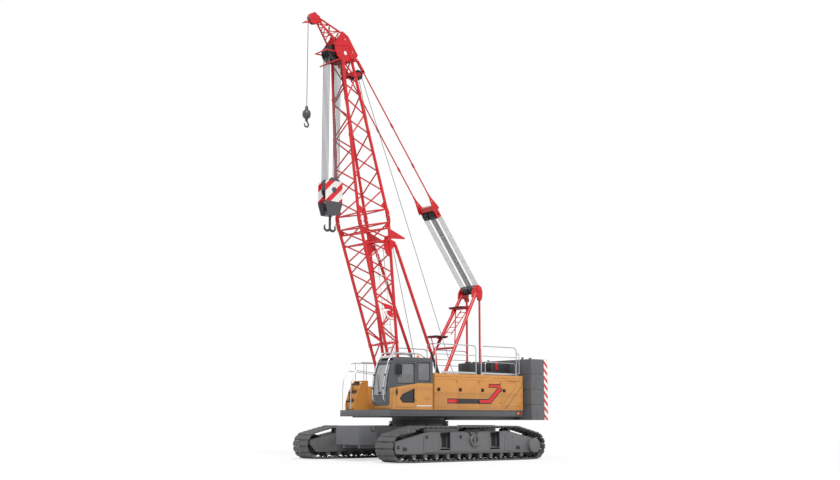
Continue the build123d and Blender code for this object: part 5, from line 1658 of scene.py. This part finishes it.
door_seals, cab_seals = Shape(), Shape()
for shape, outline, y in (
    (door_seals, rectangle(1.42, 2.18, 2.68, 3.38), 1.498),
    (door_seals, low_pane, 1.498),
    (cab_seals, rectangle(0.71, 1.25, 2.78, 3.43), 1.498),
    (cab_seals, rectangle(0.71, 2.19, 2.78, 3.43), 0.562),
):
    seal(shape, [Vector((x, y, z)) for x, z in outline])
windscreen = [(2.578, 2.25), (2.603, 2.45), (2.533, 2.95), (2.40, 3.36)]
right_edge = [Vector((x, 0.65, z)) for x, z in windscreen]
left_edge = [Vector((x, 1.41, z)) for x, z in reversed(windscreen)]
seal(cab_seals, right_edge + left_edge, 0.013)
piece("cab_door_seals", door_seals, "cab_door", rubber, sharp=50)
piece("cab_window_seals", cab_seals, "upper", rubber, sharp=50)

# %% [markdown]
# Small things make the cab read as a machine: tube guards before the windscreen with black
# clamps, a wiper, roof rails with clearance lamps, a mirror, the door handle and a flap.

# %% Cab fittings
cab_rails, cab_black, clearance = Shape(), Shape(), Shape()
guard_bend = [(2.60, 2.05), (2.67, 2.12), (2.69, 2.50), (2.62, 2.98), (2.45, 3.52), (2.30, 3.60)]
roof_bend = [(2.32, 3.56), (2.34, 3.74), (1.15, 3.74), (0.80, 3.57)]
guard_rows, roof_rows = (0.74, 1.36), (0.78, 1.42)
for y in guard_rows:
    side_rail(cab_rails, guard_bend, y, 0.021, 0.1)
    for z in (2.3, 2.8, 3.3):
        end = 2.685 - abs(z - 2.4) * 0.17
        cab_rails.bar((end - 0.11, y, z), (end, y, z), 0.008, sides=10)
    cab_black.bar((2.69, y, 2.47), (2.685, y, 2.53), 0.03, sides=16)
    cab_black.bar((2.628, y, 2.93), (2.618, y, 2.99), 0.03, sides=16)
for y in roof_rows:
    side_rail(cab_rails, roof_bend, y, 0.02, 0.1)
for x in (2.30, 1.7, 1.2):
    rail(cab_rails, [(x, y, 3.74) for y in roof_rows], 0.018)
cab_black.bar((2.605, 1.02, 2.36), (2.56, 0.86, 3.02), 0.009, sides=8)
for low, high, edge in (
    ((2.59, 0.98, 2.30), (2.62, 1.08, 2.38), 0.008),
    ((2.05, 0.70, 3.488), (2.32, 1.36, 3.506), 0.003),
    ((2.05, 0.70, 3.528), (2.32, 1.36, 3.546), 0.003),
    ((0.60, 0.74, 3.575), (2.10, 1.44, 3.60), 0.01),
):
    cab_black.box(low, high, edge=edge)
door_mirror = Shape().box((2.02, 1.545, 2.98), (2.25, 1.575, 3.33), edge=0.014)
for z in (3.04, 3.27):
    door_mirror.bar((2.22, 1.50, z), (2.22, 1.55, z), 0.012, sides=10)
for y in (0.88, 1.10, 1.32):
    clearance.box((2.27, y - 0.08, 3.57), (2.35, y + 0.08, 3.64), edge=0.01)
dome = [(0.0, 0.0), (0.06, 0.0), (0.06, 0.02), (0.05, 0.03), (0.05, 0.10), (0.035, 0.125), (0.0, 0.13)]
beacon = Shape().turned(dome, (0.85, 1.0, 3.60), "Z", 24)
handle = Shape().box((2.18, 1.499, 2.30), (2.24, 1.518, 2.46), edge=0.008)
grip = [(1.50, 2.50), (1.545, 2.50), (1.545, 2.26), (1.50, 2.26)]
rail(handle, [(2.21, y, z) for y, z in grip], 0.009, 0.03)
side_strip = Shape().box((0.62, 1.497, 1.885), (1.32, 1.505, 1.925), edge=0.002)
flap = Shape().box((0.70, 1.498, 2.13), (0.95, 1.506, 2.42), edge=0.01)
piece("cab_grab_rails", cab_rails, "upper", rail_silver, sharp=45)
piece("cab_door_mirror", door_mirror, "cab_door", rubber)
piece("cab_black_fittings", cab_black, "upper", rubber)
piece("cab_clearance_lamps", clearance, "upper", lamp_clear)
piece("cab_beacon", beacon, "upper", lamp_amber)
piece("cab_door_handle", handle, "cab_door", rubber, sharp=45)
piece("cab_side_strip", side_strip, "upper", white_trim)
piece("cab_service_flap", flap, "upper", cab_skin)
print("cab done,", len(made_pieces), "pieces")

# %% [markdown]
# Through the big panes the seat and the controls show. The seat has a padded cushion and
# back, so both are boxes that a subdivision surface swells, and the frame under them is
# plain.

# %% Seat and controls
def cushion(name, low, high, covers=(), pinch=0.22):
    """A padded block whose faces crown and whose sides draw in."""
    shape = Shape().box(low, high)
    bmesh.ops.subdivide_edges(shape.mesh, edges=shape.mesh.edges[:], cuts=4, use_grid_fill=True)
    middle = (Vector(low) + Vector(high)) / 2
    half = (Vector(high) - Vector(low)) / 2
    for vert in shape.mesh.verts:
        away = [abs((vert.co[i] - middle[i]) / half[i]) for i in range(3)]
        rim = sorted(away)[1]
        for i in range(3):
            if away[i] > 0.99:
                vert.co[i] -= math.copysign(pinch * half[i] * rim ** 3, vert.co[i] - middle[i])
    thing = piece(name, shape, "upper", seat_cloth, covers, sharp=180)
    round_off = thing.modifiers.new("padding", "SUBSURF")
    round_off.levels = 2
    round_off.render_levels = 2
    return thing


cushion("seat_cushion", (1.0, 0.81, 2.20), (1.51, 1.25, 2.325), ["cab_seat"])
cushion("seat_back", (0.94, 0.81, 2.34), (1.06, 1.25, 2.78))
cushion("seat_head_rest", (0.95, 0.91, 2.80), (1.05, 1.15, 2.94))
seat_frame = Shape()
for low, high, edge in (
    ((1.08, 0.86, 1.82), (1.42, 1.20, 1.90), 0.02), ((1.14, 0.92, 1.90), (1.36, 1.14, 2.12), 0.03),
    ((1.02, 0.83, 2.12), (1.48, 1.23, 2.20), 0.02), ((2.14, 0.72, 1.82), (2.36, 0.94, 2.40), 0.03),
    ((2.08, 0.70, 2.40), (2.34, 0.98, 2.52), 0.03),
):
    seat_frame.box(low, high, edge=edge)
for y in (0.76, 1.30):
    seat_frame.box((1.15, y - 0.035, 2.40), (1.52, y + 0.035, 2.45), edge=0.015)
    seat_frame.box((1.20, y - 0.03, 2.12), (1.30, y + 0.03, 2.42), edge=0.01)
    seat_frame.bar((1.46, y, 2.45), (1.48, y, 2.60), 0.012, sides=12)
    seat_frame.bar((1.48, y, 2.60), (1.482, y, 2.66), 0.026, 0.02, sides=14)
pedal_tilt = Matrix.Rotation(math.radians(-25), 3, "Y")
for y in (0.98, 1.16):
    seat_frame.box((2.10, y - 0.05, 1.84), (2.26, y + 0.05, 1.90), pedal_tilt, edge=0.01)
piece("cab_seat_frame_and_console", seat_frame, "upper", rubber)

# %% [markdown]
# On the other side of the boom foot, a slanted column of steps leads up from the front, with
# a box behind it. Each step has a black tread, and thin silver rails go up beside them.

# %% Steps
step_column, tread_pieces, step_rails = Shape(), Shape(), Shape()
column = [(1.66, 1.775), (2.28, 1.775), (2.30, 1.95), (2.26, 2.12), (2.15, 2.43), (2.02, 2.70),
          (1.90, 2.84), (1.66, 2.84)]
for y in (-1.47, -0.94):
    step_column.plate(column, "Y", y, y + 0.03)
for front, z_low, z_high in ((2.25, 1.78, 2.08), (2.14, 2.14, 2.40), (2.02, 2.46, 2.70)):
    step_column.box((front - 0.05, -1.45, z_low), (front, -0.93, z_high), edge=0.008)
step_column.box((0.62, -1.46, 1.775), (1.68, -0.92, 2.62), edge=0.02)
step_column.box((1.66, -1.45, 2.80), (1.90, -0.93, 2.84), edge=0.01)
for front, z in ((2.30, 2.10), (2.19, 2.42), (2.06, 2.72)):
    tread_pieces.box((front - 0.30, -1.435, z - 0.02), (front, -0.945, z + 0.02), edge=0.008)
tread_pieces.box((0.66, -1.44, 2.615), (1.64, -0.94, 2.632), edge=0.004)
step_bend = [(2.42, 1.80), (2.42, 2.78), (2.05, 3.50), (0.70, 3.50), (0.70, 2.62)]
for y in (-1.45, -0.93):
    side_rail(step_rails, step_bend, y, 0.015, 0.2)
    side_rail(step_rails, [(2.2, 3.20), (0.70, 3.08)], y, 0.012)
    for x, low_z in ((1.85, 2.83), (1.35, 2.62)):
        side_rail(step_rails, [(x, low_z), (x, 3.5)], y, 0.012)
piece("step_boxes", step_column, "upper", house_orange, ["steps"], 0.006)
piece("step_treads", tread_pieces, "upper", step_black)
piece("step_handrails", step_rails, "upper", rail_silver, sharp=45)

# %% [markdown]
# Between the houses stand three winches and the engine. A drum wound with rope has a ribbed
# look, which a spun profile of half circles gives at once.

# %% Winches
drums, flanges = Shape(), Shape()
drum_half, turns, bulge = 0.44, 36, 0.012
lay = 2 * drum_half / turns
stand = [(0.16, 0.0), (0.09, 0.12), (-0.09, 0.12), (-0.16, 0.0)]
gearbox = [(0.0, 0.54), (0.12, 0.54), (0.12, 0.6), (0.08, 0.66), (0.0, 0.66)]
for x, z, radius in ((-2.15, 2.56, 0.33), (-1.15, 2.35, 0.30), (-0.30, 2.25, 0.26)):
    core = radius - 0.072
    wound = [(0.0, -drum_half)]
    for index in range(turns):
        start = -drum_half + lay * index
        for step in range(4):
            wound.append((core + bulge * math.sin(math.pi * step / 4), start + lay * step / 4))
    wound += [(core, drum_half), (0.0, drum_half)]
    drums.turned(wound, (x, 0, z), "Y", 40)
    flange = [(0.0, 0.44), (radius, 0.44), (radius, 0.455), (radius - 0.05, 0.48), (0.0, 0.48)]
    for side in (-1, 1):
        flanges.turned(sided(flange, side), (x, 0, z), "Y", 40)
        foot = [(x - 0.16, 1.77), (x + 0.16, 1.77)]
        flanges.plate(foot + shifted(stand, x, z), "Y", side * 0.48, side * 0.54)
        flanges.turned(sided(gearbox, side), (x, 0, z), "Y", 28)
piece("winch_drums", drums, "upper", rope_steel, ["winches"], sharp=80)
piece("winch_flanges_and_stands", flanges, "upper", machine_black, (), 0.004)

# %% [markdown]
# One rope leaves each hoist drum for a deflector sheave high on the boom. Its mesh rides on
# no body and keeps its place in its points, which are spread evenly along it.

# %% Ropes from the winches to the boom head
hoist_runs = []
rope_points = 91
for left, (drum_x, drum_z) in ((0.09, (-1.83, 2.62)), (-0.09, (-0.22, 2.42))):
    low_end = Vector((drum_x, left, drum_z))
    top_end = Vector((deflector.x - 0.165, left, deflector.z))
    hoist_runs.append([low_end.lerp(top_end, index / (rope_points - 1)) for index in range(rope_points)])
winch_ropes = piece("winch_ropes", rope(hoist_runs, 0.011), None, rope_steel)
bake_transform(winch_ropes)

# %% [markdown]
# The engine is a plain block with ribs, under a hood with a louvre, and a cooler with its two
# fans' mouths stands before it on struts. All of it is black and mostly seen in gaps.

# %% Engine, hood and cooler
engine = Shape()
for low, high, edge in (
    ((-3.30, -1.40, 1.81), (-1.90, -0.90, 2.35), 0.03), ((-3.20, -1.36, 2.35), (-2.00, -0.94, 2.70), 0.04),
    ((-3.15, -1.22, 2.70), (-2.05, -1.08, 2.745), 0.015), ((-3.92, -0.80, 1.81), (-2.93, 0.80, 3.60), 0.05),
    ((-2.54, 0.14, 2.95), (-1.80, 0.80, 3.54), 0.04), ((-2.95, 0.71, 3.16), (-2.50, 0.79, 3.26), 0.01),
):
    engine.box(low, high, edge=edge)
for index in range(6):
    x = -3.08 + index * 0.19
    engine.box((x - 0.07, -1.395, 2.40), (x + 0.07, -1.34, 2.62), edge=0.015)
for index in range(7):
    x = -3.80 + index * 0.12
    engine.box((x, 0.795, 3.12), (x + 0.06, 0.81, 3.52), edge=0.008)
for x in (-2.50, -1.84):
    engine.bar((x, 0.76, 1.80), (x, 0.76, 2.98), 0.03, sides=12)
for x in (-2.36, -2.0):
    engine.turned([(0.0, 0.0), (0.12, 0.0), (0.12, 0.05), (0.09, 0.07), (0.0, 0.07)], (x, 0.5, 3.53), "Z", 24)
piece("engine_block", engine, "upper", machine_black, ["engine"])
lift_lug = Shape().box((-3.24, 0.79, 3.30), (-3.12, 0.835, 3.64), edge=0.01)
piece("engine_hood_lug", lift_lug, "upper", boom_red)

# %% [markdown]
# The counterweight is four steel slabs. Each has lifting lugs let into its top and a shadow
# gap to the next, and striped plates mark the corners for traffic behind.

# %% Counterweight
slab_foot, slab_height = 1.41, 0.578
lug_profile = [(0.0, 0.0), (0.07, 0.0), (0.07, 0.02), (0.035, 0.025), (0.035, 0.06), (0.06, 0.065),
               (0.06, 0.085), (0.0, 0.09)]
side_lug = [(-0.09, -0.10), (0.09, -0.10), (0.11, 0.0), (0.09, 0.10), (-0.09, 0.10), (-0.11, 0.0)]
for number in range(1, 5):
    node = f"counterweight_{number}"
    piece(f"{node}_slab", from_node(node), "upper", slab_paint, [node], 0.018)
lugs = Shape()
for y in (-1.2, 1.2):
    for x in (-4.62, -4.20):
        lugs.turned(lug_profile, (x, y, 3.722), "Z", 24)
for y in (-1.797, 1.797):
    for index in range(4):
        z = slab_foot + slab_height * index + 0.29
        lugs.plate(shifted(side_lug, -4.41, z), "Y", y - 0.006, y + 0.006, [(-4.41, z, 0.045)])
piece("counterweight_lifting_points", lugs, "upper", slab_paint, (), 0.003)
piece("corner_stripe_plates", from_node("stripe_plates"), "upper", corner_stripes,
      ["stripe_plates"], 0.003)
print("upper structure done,", len(made_pieces), "pieces")

# %% [markdown]
# A pale floor takes a soft shadow and a plain sky lights everything evenly. The floor is
# lifted to white for the camera alone, so nothing on the crane is lit more than the rest.

# %% Floor, sky and sun
floor_half, floor_lift, camera_share = 60, 1.08, 0.55
floor_paint = Finish("floor_white", (0.9, 0.9, 0.9, 1), 0.9)
lift = floor_paint.node("ShaderNodeEmission", {}, {"Strength": floor_lift})
seen = floor_paint.node("ShaderNodeLightPath", {}, {}, "Is Camera Ray")
ground = Wire(floor_paint, floor_paint.shader.outputs[0])
mixed = floor_paint.node("ShaderNodeMixShader", {}, {0: seen * camera_share, 1: ground, 2: lift})
floor_paint.tree.links.new(mixed.socket, floor_paint.tree.nodes["Material Output"].inputs[0])
floor_outline = rectangle(-floor_half, floor_half, -floor_half, floor_half)
floor_mesh = Shape().plate(floor_outline, "Z", -0.02, 0.0).to_mesh("floor")
floor_mesh.materials.append(floor_paint.material)
floor = bpy.data.objects.new("floor", floor_mesh)
bpy.context.scene.collection.objects.link(floor)

sky = bpy.data.worlds.new("studio")
bpy.context.scene.world = sky
sky.use_nodes = True
sky_tree = Tree(sky.node_tree)
ray_names = ("Is Camera Ray", "Is Transmission Ray", "Is Glossy Ray")
rays = [sky_tree.node("ShaderNodeLightPath", {}, {}, name) for name in ray_names]
seen = rays[0] + rays[1]
shown = seen.maths("ADD", seen, rays[2], clamp=True)
strength = sky_tree.node("ShaderNodeMapRange", {}, {"Value": shown, "To Min": 0.42, "To Max": 1.0})
background = sky.node_tree.nodes["Background"]
background.inputs["Color"].default_value = (1, 1, 1, 1)
sky.node_tree.links.new(strength.socket, background.inputs["Strength"])
sun_data = bpy.data.lights.new("sun", "SUN")
sun_data.energy = 2.5
sun_data.angle = math.radians(18)
sun = bpy.data.objects.new("sun", sun_data)
sun.rotation_euler = Vector((-0.34, -0.62, -0.74)).to_track_quat("-Z", "Y").to_euler()
bpy.context.scene.collection.objects.link(sun)
bpy.context.scene.view_settings.view_transform = "Standard"

# %% Count the pieces
print("pieces", len(made_pieces))
